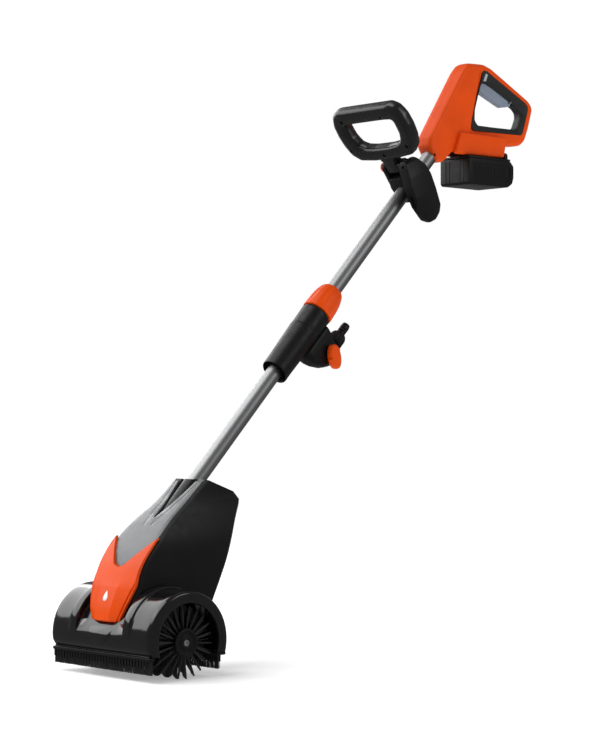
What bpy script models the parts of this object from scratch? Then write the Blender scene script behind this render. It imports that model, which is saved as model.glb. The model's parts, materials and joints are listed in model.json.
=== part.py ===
"""A cordless roller-brush patio cleaner: brush head, telescopic pole, auxiliary handle and battery handle.

Shapes are drawn in millimetres in one frame: the origin is on the floor under the middle of the roller axis,
X runs along the roller to the machine's right, Y runs back towards the user and Z is up. One empty then moves
everything so that the world origin is under the middle of the whole machine.
"""

import math

import bmesh
import bpy
import numpy as np
from mathutils import Matrix, Vector

MM = 0.001
FIT_GAP = 0.3  # clearance between neighbouring pieces
MACHINE_MIDDLE_Y = 448.3  # middle of the machine's length, measured from the roller axis

# Pole
POLE_ANGLE = math.radians(46.4)  # above the floor
POLE_START = Vector((0.0, 158.5, 356.5))  # a point on the pole's axis, just above the tower
TUBE_RADIUS = 14.3
TUBE_WALL = 1.6
LOWER_TUBE_ENDS = (-150.0, 296.0)
UPPER_TUBE_ENDS = (304.0, 868.0)
SPIGOT_ENDS = (206.0, 404.0)
COUPLING_ENDS = (210.0, 362.0)
NUT_ENDS = (364.5, 424.0)

# Brush head
ROLLER_Z = 61.0
BRUSH_RADIUS = 61.0
BRUSH_CORE_RADIUS = 21.0
ROLLER_INNER_X = 24.0
ROLLER_OUTER_X = 126.0
HOOD_Z = 63.5
HOOD_HALF_LENGTH = 136.0
HOOD_BOTTOM_Z = 42.0
STRIP_HALF_LENGTH = 133.5
FRONT_STRIP_Y = -76.0
REAR_STRIP_Y = 67.0
STRIP_BOTTOM_Z = 13.0
STRIP_TOP_Z = 36.0
MOTOR_ANGLE = math.radians(55.0)  # above the floor
GEARCASE_HALF_WIDTH = 20.0
RING_GEAR_TEETH = 20
PINION_TEETH = 6

# Auxiliary handle
CLAMP_ENDS = (690.0, 750.0)
PIVOT_BOLT = Vector((0.0, 612.0, 905.0))
LOOP_LEAN = math.radians(127.6)  # direction of the loop above the floor

# Battery
BATTERY_HALF_WIDTH = 39.0


def pole_frame():
    """Matrix from pole coordinates (across, below, along) to the drawing frame."""
    c, s = math.cos(POLE_ANGLE), math.sin(POLE_ANGLE)
    turn = Matrix(((1, 0, 0), (0, s, c), (0, -c, s)))
    return Matrix.Translation(POLE_START) @ turn.to_4x4()


POLE = pole_frame()


def pole_point(across, below, along):
    return POLE @ Vector((across, below, along))


def frame_on(origin, direction):
    """Matrix that puts the local Z axis on a direction of the side plane, with local X kept on world X."""
    direction = Vector(direction).normalized()
    side = Vector((1, 0, 0))
    other = direction.cross(side)
    turn = Matrix((side, other, direction)).transposed()
    return Matrix.Translation(Vector(origin)) @ turn.to_4x4()


ALONG_X = Matrix(((0, 0, 1, 0), (1, 0, 0, 0), (0, 1, 0, 0), (0, 0, 0, 1)))
MOTOR = frame_on((0, 0, ROLLER_Z), (0, math.cos(MOTOR_ANGLE), math.sin(MOTOR_ANGLE)))
ROLLER = Matrix.Translation((0, 0, ROLLER_Z)) @ ALONG_X


# ---------------------------------------------------------------- shapes: each is (points, faces)


def prism(outline, low, high, along="x"):
    """Straight extrusion of a closed outline. The outline is in (y, z), (x, z) or (x, y)."""
    place = {
        "x": lambda p, d: (d, p[0], p[1]),
        "y": lambda p, d: (p[0], d, p[1]),
        "z": lambda p, d: (p[0], p[1], d),
    }[along]
    n = len(outline)
    points = [place(p, low) for p in outline] + [place(p, high) for p in outline]
    faces = [[i, (i + 1) % n, n + (i + 1) % n, n + i] for i in range(n)]
    return points, faces + [list(range(n)), list(range(n, 2 * n))]


def block(low, high):
    outline = [(low[0], low[1]), (high[0], low[1]), (high[0], high[1]), (low[0], high[1])]
    return prism(outline, low[2], high[2], "z")


def loft(rings, closed=False):
    """Rings with equal point counts, joined in order. An open loft gets a cap at each end."""
    n, count = len(rings[0]), len(rings)
    points = [tuple(p) for ring in rings for p in ring]
    faces = []
    for k in range(count if closed else count - 1):
        a, b = k * n, ((k + 1) % count) * n
        faces += [[a + i, a + (i + 1) % n, b + (i + 1) % n, b + i] for i in range(n)]
    if not closed:
        faces += [list(range(n)), list(range((count - 1) * n, count * n))]
    return points, faces


def circle(radius, segments=24, centre=(0.0, 0.0), start=0.0):
    step = 2 * math.pi / segments
    return [
        (centre[0] + radius * math.cos(start + i * step), centre[1] + radius * math.sin(start + i * step))
        for i in range(segments)
    ]


def oval(half_width, half_height, segments=20, power=2.0):
    """A rounded outline; a power above 2 makes it squarer."""
    points = []
    for i in range(segments):
        a = 2 * math.pi * (i + 0.5) / segments
        c, s = math.cos(a), math.sin(a)
        x = half_width * math.copysign(abs(c) ** (2 / power), c)
        y = half_height * math.copysign(abs(s) ** (2 / power), s)
        points.append((x, y))
    return points


def lathe(profile, segments=24):
    """Solid bar: (radius, height) points from one end to the other, turned about Z and capped."""
    return loft([[(x, y, h) for x, y in circle(r, segments)] for r, h in profile if r > 0])


def sleeve(profile, segments=24):
    """Ring: a closed (radius, height) outline that stays off the axis, turned about Z."""
    return loft([[(x, y, h) for x, y in circle(r, segments)] for r, h in profile], closed=True)


def pipe(path, radius, segments=8):
    """Round bar along a path of points in space."""
    path = [Vector(p) for p in path]
    rings = []
    up = Vector((1, 0, 0))
    for i, p in enumerate(path):
        ahead = path[min(i + 1, len(path) - 1)] - path[max(i - 1, 0)]
        side = up.cross(ahead).normalized()
        up = ahead.cross(side).normalized()
        rings.append([p + side * x + up * y for x, y in circle(radius, segments)])
    return loft(rings)


def gear_outline(teeth, root, tip, share):
    """Straight-toothed outline; share is the part of each pitch that the tooth fills."""
    points = []
    pitch = 2 * math.pi / teeth
    for i in range(teeth):
        for offset, radius in ((-0.5, root), (-0.36, tip), (0.36, tip), (0.5, root)):
            a = i * pitch + offset * share * pitch
            points.append((radius * math.cos(a), radius * math.sin(a)))
    return points


# ---------------------------------------------------------------- objects

for old in list(bpy.data.objects):
    bpy.data.objects.remove(old)

ROOT = bpy.data.objects.new("machine_origin", None)
ROOT.location = (0, -MACHINE_MIDDLE_Y * MM, 0)
bpy.context.scene.collection.objects.link(ROOT)

MATERIALS = {}


def material(name, colour, roughness=0.5, metallic=0.0):
    made = bpy.data.materials.new(name)
    made.use_nodes = True
    shader = made.node_tree.nodes["Principled BSDF"]
    shader.inputs["Base Color"].default_value = (*colour, 1)
    shader.inputs["Roughness"].default_value = roughness
    shader.inputs["Metallic"].default_value = metallic
    MATERIALS[name] = made


material("orange_plastic", (0.80, 0.10, 0.015), 0.4)
material("black_gloss_plastic", (0.012, 0.012, 0.013), 0.15)
material("black_plastic", (0.014, 0.014, 0.015), 0.45)
material("grey_panel", (0.25, 0.26, 0.27), 0.35, 0.4)
material("grey_trigger", (0.32, 0.35, 0.40), 0.4)
material("aluminium_tube", (0.45, 0.46, 0.47), 0.35, 1.0)
material("steel", (0.5, 0.5, 0.5), 0.3, 1.0)
material("brass", (0.7, 0.5, 0.2), 0.3, 1.0)
material("bristle", (0.01, 0.01, 0.01), 0.6)
material("battery_cell", (0.1, 0.3, 0.35), 0.5)
material("rubber", (0.02, 0.02, 0.02), 0.7)
material("badge_white", (0.85, 0.85, 0.85), 0.4)
material("board_green", (0.02, 0.15, 0.05), 0.5)


def make(name, shape, material_name=None, place=None, pivot=(0, 0, 0), smooth=False):
    """Adds a closed mesh. The pivot, in the drawing frame, becomes the object's origin."""
    points, faces = shape
    matrix = place or Matrix()
    pivot = Vector(pivot)
    mesh = bpy.data.meshes.new(name)
    mesh.from_pydata([((matrix @ Vector(p)) - pivot) * MM for p in points], [], faces)
    shell = bmesh.new()
    shell.from_mesh(mesh)
    bmesh.ops.remove_doubles(shell, verts=shell.verts, dist=0.00001)
    bmesh.ops.recalc_face_normals(shell, faces=shell.faces)
    shell.to_mesh(mesh)
    shell.free()
    obj = bpy.data.objects.new(name, mesh)
    obj.location = pivot * MM
    obj.parent = ROOT
    bpy.context.scene.collection.objects.link(obj)
    if smooth:
        mesh.shade_smooth()
        mesh.set_sharp_from_angle(angle=math.radians(35))
    if material_name:
        mesh.materials.append(MATERIALS[material_name])
    else:
        obj.hide_render = True
        obj.display_type = "WIRE"
    return obj


def combine(obj, other, operation):
    step = obj.modifiers.new(operation.lower(), "BOOLEAN")
    step.operation = operation
    step.solver = "EXACT"
    step.object = other
    return obj


def cut(obj, *shapes, place=None):
    """Removes shapes, each given as (points, faces) or as an object, from an object."""
    for i, shape in enumerate(shapes):
        is_object = isinstance(shape, bpy.types.Object)
        other = shape if is_object else make(f"{obj.name}_cutter_{i}", shape, place=place)
        combine(obj, other, "DIFFERENCE")
    return obj


def add(obj, *shapes, place=None):
    for i, shape in enumerate(shapes):
        combine(obj, make(f"{obj.name}_join_{i}", shape, place=place), "UNION")
    return obj


def keep(obj, shape, place=None):
    return combine(obj, make(f"{obj.name}_keep", shape, place=place), "INTERSECT")


# ---------------------------------------------------------------- hood and strip brushes


def hood_section(outer, inner, bottom=HOOD_BOTTOM_Z, segments=18):
    """Arch in (y, z): outer arc from the front bottom to the rear bottom, then the inner arc back."""
    arch = []
    for radius, order in ((outer, 1), (inner, -1)):
        drop = math.asin((HOOD_Z - bottom) / radius)
        angles = np.linspace(math.pi + drop, -drop, segments + 1)[::order]
        arch += [(radius * math.cos(a), HOOD_Z + radius * math.sin(a)) for a in angles]
    return arch


HOOD_STATIONS = (
    (-HOOD_HALF_LENGTH, 79.5, 64.0), (-133.0, 82.5, 64.0), (-130.5, 84.0, 64.0), (-130.0, 84.0, 79.0),
    (-84.0, 84.5, 79.0), (-80.0, 88.5, 79.0), (-64.0, 88.5, 79.0), (-63.0, 76.0, 71.0),
)
stations = list(HOOD_STATIONS) + [(-x, outer, inner) for x, outer, inner in reversed(HOOD_STATIONS)]
HOOD_AXIS = Matrix.Translation((0, 0, HOOD_Z)) @ ALONG_X
hood = make(
    "hood_shell",
    loft([[(x, y, z) for y, z in hood_section(outer, inner)] for x, outer, inner in stations]),
    "black_gloss_plastic",
    smooth=True,
)
cut(hood, block((-23, -23, 40), (23, 23, 130)), place=MOTOR)
cut(
    hood,
    lathe([(5, 60), (5, 90), (0, 90), (0, 60)], 10),
    place=frame_on((-30, 0, HOOD_Z), (0, -0.342, 0.940)),
)


def strip_outline(teeth=26):
    """Comb in (x, z): a closed band at the bottom and separate tufts towards the top."""
    pitch = 2 * STRIP_HALF_LENGTH / teeth
    points = [(-STRIP_HALF_LENGTH, STRIP_BOTTOM_Z), (STRIP_HALF_LENGTH, STRIP_BOTTOM_Z)]
    for i in range(teeth):
        right = STRIP_HALF_LENGTH - i * pitch
        gap = 0.0 if i == 0 else 1.2
        points.append((right - gap, STRIP_TOP_Z - FIT_GAP))
        points.append((right - pitch + (1.2 if i < teeth - 1 else 0.0), STRIP_TOP_Z - FIT_GAP))
        if i < teeth - 1:
            points.append((right - pitch, STRIP_BOTTOM_Z + 9))
    return points


for end, y, low, high in (("front", FRONT_STRIP_Y, -81.5, -70.5), ("rear", REAR_STRIP_Y, 62.0, 80.5)):
    make(
        f"{end}_strip_holder",
        block((-STRIP_HALF_LENGTH, low, STRIP_TOP_Z), (STRIP_HALF_LENGTH, high, HOOD_BOTTOM_Z - FIT_GAP)),
        "black_plastic",
    )
    make(f"{end}_strip_bristles", prism(strip_outline(), y - 3.0, y + 3.0, "y"), "bristle")

# ---------------------------------------------------------------- tower

# Height, front, rear and half width of the tower at each level.
TOWER_LEVELS = (
    (40.0, -76.0, 92.0, 60.0), (58.0, -73.0, 98.0, 61.0), (84.0, -66.0, 108.0, 62.0),
    (114.0, -60.0, 121.0, 62.0), (150.0, -47.0, 138.0, 62.0), (190.0, -30.0, 156.0, 61.5),
    (228.0, 0.0, 169.0, 60.0), (256.0, 30.0, 181.0, 54.0), (285.0, 68.0, 196.0, 47.0),
    (332.0, 120.0, 212.0, 45.0),
)


def tower_section(z, front, rear, half, wall=0.0):
    """Outline in (x, y) with a small front chamfer and a larger rear one."""
    front, rear, half = front + wall, rear - wall, half - wall
    near, far = 6.0, 14.0
    right = [(half - near, front), (half, front + near), (half, rear - far), (half - far, rear)]
    return [(x, y, z) for x, y in right] + [(-x, y, z) for x, y in reversed(right)]


def tower_loft(wall=0.0):
    return loft([tower_section(*level, wall=wall) for level in TOWER_LEVELS])


TOWER_TOP = [(60, 340), (96, 325.5), (114, 325.5), (172, 304), (194, 280), (240, 240), (240, 400), (60, 400)]
TOWER_INNER_TOP = [
    (40, 330), (92, 320), (112, 321), (168, 300), (188, 280), (240, 240), (240, 400), (40, 400),
]


def tower_half(name, side):
    shell = make(name, tower_loft(), "black_plastic")
    cut(shell, prism(TOWER_TOP, -90, 90))
    room = make(f"{name}_room", tower_loft(wall=4.0))
    cut(room, prism(TOWER_INNER_TOP, -90, 90))
    cut(shell, room)
    cut(shell, lathe([(18.3, -200), (18.3, 60), (0, 60), (0, -200)], 24), place=POLE)
    cut(shell, prism([(-28, 340), (28, 340), (2, 264), (-2, 264)], -60, 132, "y"))
    hood_space = [(r + FIT_GAP, x) for r, x in ((76, -62.4), (76, 62.4))]
    wide = [(0, -100), (88.5 + FIT_GAP, -100), (88.5 + FIT_GAP, -62.4), *hood_space]
    wide += [(88.5 + FIT_GAP, 62.4), (88.5 + FIT_GAP, 100), (0, 100)]
    cut(shell, lathe(wide, 48), place=HOOD_AXIS)
    floor_cut = block((-90, -100, -20), (90, 140, HOOD_BOTTOM_Z + 12))
    cut(shell, floor_cut)
    low, high = (0.15, 90) if side > 0 else (-90, -0.15)
    keep(shell, block((low, -150, -50), (high, 260, 420)))
    return shell


tower_half("tower_left", -1)
tower_half("tower_right", 1)


def front_at(z):
    """The tower's front face at a height."""
    levels = [level[0] for level in TOWER_LEVELS]
    return float(np.interp(z, levels, [level[1] for level in TOWER_LEVELS]))


def face_plate(levels, back):
    """Plate that follows the tower's front. Levels are (z, half width, thickness of the raised middle)."""
    rings = []
    for z, half, raised in levels:
        y = front_at(z)
        centre = half * 0.55
        rim = y - back - 2.5
        outer = [(-half, rim), (-centre, y - back - raised), (centre, y - back - raised), (half, rim)]
        inner = [(half, y - back), (-half, y - back)]
        rings.append([(x, yy, z) for x, yy in outer + inner])
    return loft(rings)


# Swallow-tail line in (x, z) between the orange cover below and the grey panel above.
TAIL_LINE = [(-75, 250), (-57, 231), (-14, 186), (0, 181.5), (14, 186), (57, 231), (75, 250)]
PANEL_LEVELS = [
    (178, 36, 3.5), (190, 44, 3.5), (215, 51, 3.5), (228, 53, 3.5), (256, 47.5, 3.5), (285, 40, 3.5),
    (322, 38.5, 3.5),
]
panel = make("front_panel", face_plate(PANEL_LEVELS, FIT_GAP), "grey_panel")
cut(panel, prism([(-30, 340), (30, 340), (2, 262), (-2, 262)], -60, 160, "y"))
below_tail = [(x, z + FIT_GAP) for x, z in TAIL_LINE] + [(60, 150), (-60, 150)]
cut(panel, make("panel_tail_cutter", prism(below_tail, -120, 120, "y")))

COVER_LEVELS = [
    (82, 30, 3.5), (90, 36, 12), (114, 47, 14), (150, 58, 13), (165, 56, 10), (190, 56, 8), (228, 57, 5),
    (240, 54, 5),
]
cover = make("orange_cover", face_plate(COVER_LEVELS, 1.6), "orange_plastic")
above_tail = [(x, z - FIT_GAP) for x, z in TAIL_LINE] + [(60, 300), (-60, 300)]
cut(cover, make("cover_tail_cutter", prism(above_tail, -120, 120, "y")))
cut(cover, lathe([(76.0 + FIT_GAP, -62), (76.0 + FIT_GAP, 62)], 48), place=HOOD_AXIS)

drop_turns = np.linspace(0.5, -math.pi - 0.5, 14)
droplet = [(0, 11)] + [(6.5 * math.cos(a), -2 + 6.5 * math.sin(a)) for a in drop_turns]
badge_frame = Matrix.Translation((0, -69.0, 134)) @ Matrix.Rotation(math.radians(-21), 4, "X")
make("badge", prism(droplet, -1.0, 0.6, "y"), "badge_white", place=badge_frame)

socket = make(
    "tube_socket",
    sleeve([(18.0, -146), (18.0, -42), (TUBE_RADIUS + FIT_GAP, -42), (TUBE_RADIUS + FIT_GAP, -146)], 20),
    "black_plastic",
    place=POLE,
)
cut(socket, prism(TOWER_TOP, -90, 90))

# ---------------------------------------------------------------- drive

GEAR_AXIS = (0, 0, ROLLER_Z)
RING_GEAR_MEAN = 31.5
GEAR_FACE = (27.0, 36.0)  # radii that the crown teeth span

motor_can = make(
    "motor_can",
    lathe([(21, 146), (21, 214), (9, 214), (9, 220)], 24),
    "steel",
    place=MOTOR,
    smooth=True,
)
cut(motor_can, lathe([(4, 130), (4, 160)], 10), place=MOTOR)

motor_shaft = make(
    "motor_shaft",
    lathe([(3.5, 20), (3.5, 158)], 10),
    "steel",
    place=MOTOR,
    pivot=MOTOR @ Vector((0, 0, 146)),
)
add(motor_shaft, prism(gear_outline(PINION_TEETH, 7.5, 10.8, 0.46), *GEAR_FACE, "z"), place=MOTOR)


def crown_gear():
    """Disc with teeth on one face. A gap between two teeth lies on the motor's direction."""
    rings = []
    pitch = 2 * math.pi / RING_GEAR_TEETH
    for i in range(RING_GEAR_TEETH):
        for offset, face in ((-0.24, 11.4), (-0.18, 8.2), (0.18, 8.2), (0.24, 11.4)):
            a = MOTOR_ANGLE + (i + 0.5 + offset) * pitch
            section = [(5.4, 11.4), (GEAR_FACE[0], 11.4), (GEAR_FACE[0] + 0.2, face)]
            section += [(GEAR_FACE[1], face), (GEAR_FACE[1] + 0.2, 14.8), (5.4, 14.8)]
            rings.append([(r * math.cos(a), r * math.sin(a), h) for r, h in section])
    return loft(rings, closed=True)


make("ring_gear", crown_gear(), "steel", place=ROLLER, pivot=GEAR_AXIS)
make("drive_shaft", lathe([(5, -125.5), (5, 125.5)], 14), "steel", place=ROLLER, pivot=GEAR_AXIS, smooth=True)

for name, low, high, room in (
    ("gearcase_left", -GEARCASE_HALF_WIDTH, -0.15, (-16, 1)),
    ("gearcase_right", 0.15, GEARCASE_HALF_WIDTH, (-1, 16)),
):
    case = make(name, lathe([(45, low), (45, high)], 32), "black_plastic", place=ROLLER)
    add(case, block((low, -18, 20), (high, 18, 140)), place=MOTOR)
    cut(case, lathe([(40, room[0]), (40, room[1])], 32), lathe([(7, -30), (7, 30)], 16), place=ROLLER)
    cut(case, make(f"{name}_neck_room", lathe([(12.5, 20), (12.5, 150)], 16), place=MOTOR))

BRUSH_LOBES = 20
lobe_share = 0.55
lobe_half = 0.36 * lobe_share * 2 * math.pi / BRUSH_LOBES
for side, name in ((-1, "left"), (1, "right")):
    low, high = sorted((side * 16.2, side * 19.8))
    bush = sleeve([(5.4, low), (6.7, low), (6.7, high), (5.4, high)], 14)
    make(f"bearing_{name}", bush, "steel", place=ROLLER)
    low, high = sorted((side * ROLLER_INNER_X, side * ROLLER_OUTER_X))
    core = [(5.4, low), (BRUSH_CORE_RADIUS, low), (BRUSH_CORE_RADIUS, high), (5.4, high)]
    make(f"brush_core_{name}", sleeve(core, 20), "black_plastic", place=ROLLER, pivot=GEAR_AXIS, smooth=True)
    star = gear_outline(BRUSH_LOBES, 27.0, BRUSH_RADIUS / math.cos(lobe_half), lobe_share)
    hole = [(x * 21.4 / math.hypot(x, y), y * 21.4 / math.hypot(x, y)) for x, y in star]
    outlines = ((hole, low), (star, low), (star, high), (hole, high))
    rings = [[(x, y, h) for x, y in line] for line, h in outlines]
    make(f"brush_bristles_{name}", loft(rings, closed=True), "bristle", place=ROLLER, pivot=GEAR_AXIS)
    cap = [
        (23.5, 126.3), (23.5, 128.4), (22.3, 129.6), (17.6, 129.6), (17.0, 127.6), (8.5, 127.6), (8.5, 129.2),
    ]
    cap_shape = lathe([(r, side * h) for r, h in cap], 24)
    make(f"end_cap_{name}", cap_shape, "black_plastic", place=ROLLER, pivot=GEAR_AXIS, smooth=True)

SPRAY_RADIUS = 67.8
SPRAY_ANGLE = math.radians(110)
SPRAY_OUT = Vector((0, math.cos(SPRAY_ANGLE), math.sin(SPRAY_ANGLE)))
spray_centre = Vector((0, 0, HOOD_Z)) + SPRAY_OUT * SPRAY_RADIUS
spray_ends = [spray_centre + Vector((x, 0, 0)) for x in (-124, 124)]
spray_place = Matrix.Translation(spray_centre) @ ALONG_X
make("spray_bar", lathe([(2.8, -124), (2.8, 124)], 8), "black_plastic", place=spray_place)
hose_end = spray_centre + Vector((-30, 0, 0))
hose_bends = [pole_point(0, 0, along) for along in (272, 60, -150)]
hose_path = [*hose_bends, (-8, 40, 226), (-24, 4, 180)]
hose_path += [hose_end + SPRAY_OUT * 24, hose_end + SPRAY_OUT * 3.4]
make("water_hose", pipe(hose_path, 3.0), "rubber", smooth=True)

# ---------------------------------------------------------------- pole

BORE = TUBE_RADIUS + FIT_GAP


def tube(name, ends, outer, inner, material_name, segments=24):
    profile = [(inner, ends[0]), (outer, ends[0]), (outer, ends[1]), (inner, ends[1])]
    return make(name, sleeve(profile, segments), material_name, place=POLE, smooth=True)


tube("lower_tube", LOWER_TUBE_ENDS, TUBE_RADIUS, TUBE_RADIUS - TUBE_WALL, "aluminium_tube")
tube("upper_tube", UPPER_TUBE_ENDS, TUBE_RADIUS, TUBE_RADIUS - TUBE_WALL, "aluminium_tube")
tube("guide_spigot", SPIGOT_ENDS, TUBE_RADIUS - TUBE_WALL - FIT_GAP, 9.0, "steel", 20)

start, end = COUPLING_ENDS
COUPLING_OUTSIDE = [(25.0, start), (25.8, start + 22), (27.0, start + 70), (28.0, start + 106), (28.0, end)]
coupling_inside = [(17.9, end), (17.9, 341), (BORE, 341), (BORE, 242), (22.0, 232)]
coupling_profile = [(22.0, start), *COUPLING_OUTSIDE, *coupling_inside]
coupling = make("coupling_body", sleeve(coupling_profile, 28), "black_plastic", place=POLE, smooth=True)
start, end = NUT_ENDS
nut_profile = [
    (17.9, start), (29.0, start), (29.0, start + 4), (27.5, start + 22), (24.5, end - 12), (21.5, end),
    (BORE + 0.2, end), (BORE + 0.2, end - 6), (17.9, end - 7),
]
nut_start = pole_point(0, 0, start)
make("collar_nut", sleeve(nut_profile, 28), "orange_plastic", place=POLE, pivot=nut_start, smooth=True)
collet = tube("collet", (341.5, 416.0), 17.5, BORE, "black_plastic", 20)
cut(collet, block((-30, -1.5, 362), (0, 1.5, 430)), place=POLE)

VALVE_OUTLINE = [
    (20, 278), (38, 279.5), (48, 282), (60, 288), (70, 295), (80, 307), (86, 318), (88, 332), (85, 345),
    (78, 351),
    (54, 351), (42, 355), (20, 360),
]
TAP_AXIS = (67.0, 319.0)  # below the pole's axis, along it


def shrunk(outline, amount, centre):
    """The outline scaled about a centre, for a chamfered edge."""
    return [(centre[0] + (a - centre[0]) * amount, centre[1] + (b - centre[1]) * amount) for a, b in outline]


valve_rings = []
for x, amount in ((-19, 0.84), (-14, 0.97), (0, 1.0), (14, 0.97), (19, 0.84)):
    valve_rings.append([(x, a, b) for a, b in shrunk(VALVE_OUTLINE, amount, (40, 316))])
valve = make("valve_housing", loft(valve_rings), "black_plastic", place=POLE, smooth=True)
coupling_room = [(r + FIT_GAP, along) for r, along in COUPLING_OUTSIDE]
cut(valve, lathe([(25.3, 190), *coupling_room, (28.3, 380)], 28), place=POLE)
TAP = Matrix.Translation(pole_point(0, *TAP_AXIS)) @ ALONG_X
cut(valve, make("tap_room", lathe([(8.4, -10), (8.4, 40)], 16), place=TAP))
tap_pivot = pole_point(0, *TAP_AXIS)
make("valve_plug", lathe([(8.0, -9.5), (8.0, 19.4)], 16), "brass", place=TAP, pivot=tap_pivot, smooth=True)
knob_rings = []
for x, across, tall in ((19.8, 9.0, 17.0), (23.0, 12.0, 23.0), (33.0, 12.0, 23.0), (37.5, 9.0, 19.0)):
    knob_rings.append([(a, b, x) for a, b in oval(tall, across, 18)])
knob_place = Matrix.Translation(tap_pivot) @ ALONG_X @ Matrix.Rotation(math.radians(-78), 4, "Z")
make("valve_lever", loft(knob_rings), "orange_plastic", place=knob_place, pivot=tap_pivot, smooth=True)
CONNECTOR = POLE @ Matrix.Translation((0, 67.5, 0))
nipple = [(3.5, 352), (8.3, 352), (8.3, 384), (6.6, 386), (6.6, 391), (8.3, 393), (7.2, 402), (3.5, 402)]
make("hose_connector", sleeve(nipple, 16), "black_plastic", place=CONNECTOR, smooth=True)
ring = [(8.6, 352), (15.5, 352), (15.5, 373), (13.5, 377), (8.6, 377)]
make("connector_ring", sleeve(ring, 20), "black_plastic", place=CONNECTOR, smooth=True)

# ---------------------------------------------------------------- auxiliary handle

PIVOT = Matrix.Translation(PIVOT_BOLT) @ ALONG_X
pivot_below, pivot_along = -50.0, 710.0  # the bolt's place in pole coordinates
start, end = CLAMP_ENDS
clamp_hole = lathe([(BORE, start - 20), (BORE, end + 20)], 24)
upper_section = [(-24, -0.15), (24, -0.15), (24, -14), (16, -33), (-16, -33), (-24, -14)]
upper = make("clamp_upper", prism(upper_section, start, end, "z"), "black_plastic", place=POLE)
cheek = [(-60, 700), (-60, 720), (-56, 724), (-20, 742), (-8, 742), (-8, 694), (-20, 692), (-50, 697)]
add(upper, prism(cheek, 15.2, 24.0, "x"), prism(cheek, -24.0, -15.2, "x"), place=POLE)
cut(upper, clamp_hole, place=POLE)
cut(upper, make("clamp_bolt_hole", lathe([(3.4, -60), (3.4, 60)], 12), place=PIVOT))
lower_section = [(-24, 0.15), (24, 0.15), (24, 12), (14, 25), (-14, 25), (-24, 12)]
lower = make("clamp_lower", prism(lower_section, start, end, "z"), "black_plastic", place=POLE)
cut(lower, clamp_hole, place=POLE)

bolt = make("pivot_bolt", lathe([(3.0, -31), (3.0, 33)], 12), "steel", place=PIVOT)
LEVER_AXIS_X = 36.5
LEVER = frame_on(PIVOT_BOLT + Vector((LEVER_AXIS_X, 0, 0)), (0, 0.416, -0.909))
eye = prism(circle(5.5, 14), -4.5, 4.5, "y")
add(bolt, eye, place=LEVER)
cut(bolt, make("bolt_eye_hole", prism(circle(2.9, 12), -10, 10, "y"), place=LEVER))
cap = [(3.3, -24.4), (9.0, -24.4), (9.0, -30.5), (6.5, -33.5), (3.3, -33.5)]
make("bolt_cap", sleeve(cap, 18), "orange_plastic", place=PIVOT, smooth=True)

base_round = [(10.9 * math.cos(a), 10.9 * math.sin(a)) for a in np.linspace(0, -math.pi, 9)]
side_view = base_round + [(-9, 20), (-6, 60), (-3, 100), (-1, 118), (8, 118), (13, 96), (15, 60), (14, 22)]
front_view = [
    (-14, -10.9), (14, -10.9), (30, 12), (35, 32), (36, 94), (30, 108), (16, 118), (2, 118), (-12, 108),
    (-22, 78), (-24, 40), (-18, 4),
]
# In the lever's frame local Y points forwards, so the outline is turned over.
lever_pivot = LEVER @ Vector((0, 0, 0))
lever = make("cam_lever", prism(side_view, -40, 30, "y"), "black_plastic", place=LEVER, pivot=lever_pivot)
keep(lever, prism([(-y, z) for y, z in front_view], -20, 25, "x"), place=LEVER)
cut(
    lever,
    block((-20, -5.2, -30), (6.5, 5.2, 7.5)),
    prism(circle(2.9, 12), -60, 60, "y"),
    block((-20, -29, 30), (2.0, -4, 86)),
    place=LEVER,
)
make("lever_pin", prism(circle(2.5, 12), -13.0, 13.0, "y"), "steel", place=LEVER, pivot=lever_pivot)

LOOP = frame_on((0, 616.5, 903.2), (0, math.cos(LOOP_LEAN), math.sin(LOOP_LEAN)))
LOOP_CENTRE = 82.0
LOOP_SEAM = -3.0  # where the two shells meet, in front of the loop's middle plane
# Right half of each outline in (x, along the loop), from the top to the bottom.
LOOP_OUTSIDE = [(70, 139.5), (85, 131), (93, 110), (94.5, 88), (91.5, 64), (84, 43), (68, 29), (30, 25)]
LOOP_INSIDE = [(60, 108), (64, 101), (63, 78), (56, 62), (42, 55.5), (20, 53)]


def mirrored(half_line):
    """Closed outline from its right half."""
    return half_line + [(-x, z) for x, z in reversed(half_line)]


def reach(outline, angle, centre):
    """Point where a ray from the centre meets an outline."""
    ray = Vector((math.cos(angle), math.sin(angle)))
    for i, point in enumerate(outline):
        start = Vector(outline[i - 1]) - centre
        edge = Vector(point) - centre - start
        across = ray.cross(edge)
        if abs(across) < 1e-9:
            continue
        share = start.cross(ray) / across
        distance = start.cross(edge) / across
        if -1e-9 <= share <= 1 and distance > 0:
            return centre + ray * distance
    raise ValueError("the centre is outside the outline")


def loop_rings(section, segments=32):
    """Rings round the loop. A section point is (0 at the inside to 1 at the outside, y)."""
    centre = Vector((0, LOOP_CENTRE))
    rings = []
    for i in range(segments):
        angle = 2 * math.pi * (i + 0.5) / segments
        inside = reach(mirrored(LOOP_INSIDE), angle, centre)
        outside = reach(mirrored(LOOP_OUTSIDE), angle, centre)
        rings.append([(*(inside + (outside - inside) * t).to_tuple(), y) for t, y in section])
    return [[(x, y, z) for x, z, y in ring] for ring in rings]


neck = [(-12, -4), (12, -4), (14, 0), (14, 20), (24, 36), (-24, 36), (-14, 20), (-14, 0)]
for name, flat, full, neck_full in (
    ("loop_front", LOOP_SEAM - 0.15, -18.0, -13.5),
    ("loop_rear", LOOP_SEAM + 0.15, 12.0, 8.5),
):
    half = flat + (full - flat) * 0.6
    section = [(0, flat), (0, half), (0.2, full), (0.8, full), (1, half), (1, flat)]
    ring = loft(loop_rings(section), closed=True)
    shell = make(name, ring, "black_gloss_plastic", place=LOOP, pivot=PIVOT_BOLT, smooth=True)
    add(shell, prism(neck, *sorted((flat, neck_full)), "y"), place=LOOP)
    cut(shell, make(f"{name}_bolt_hole", lathe([(3.4, -60), (3.4, 60)], 12), place=PIVOT))

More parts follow.
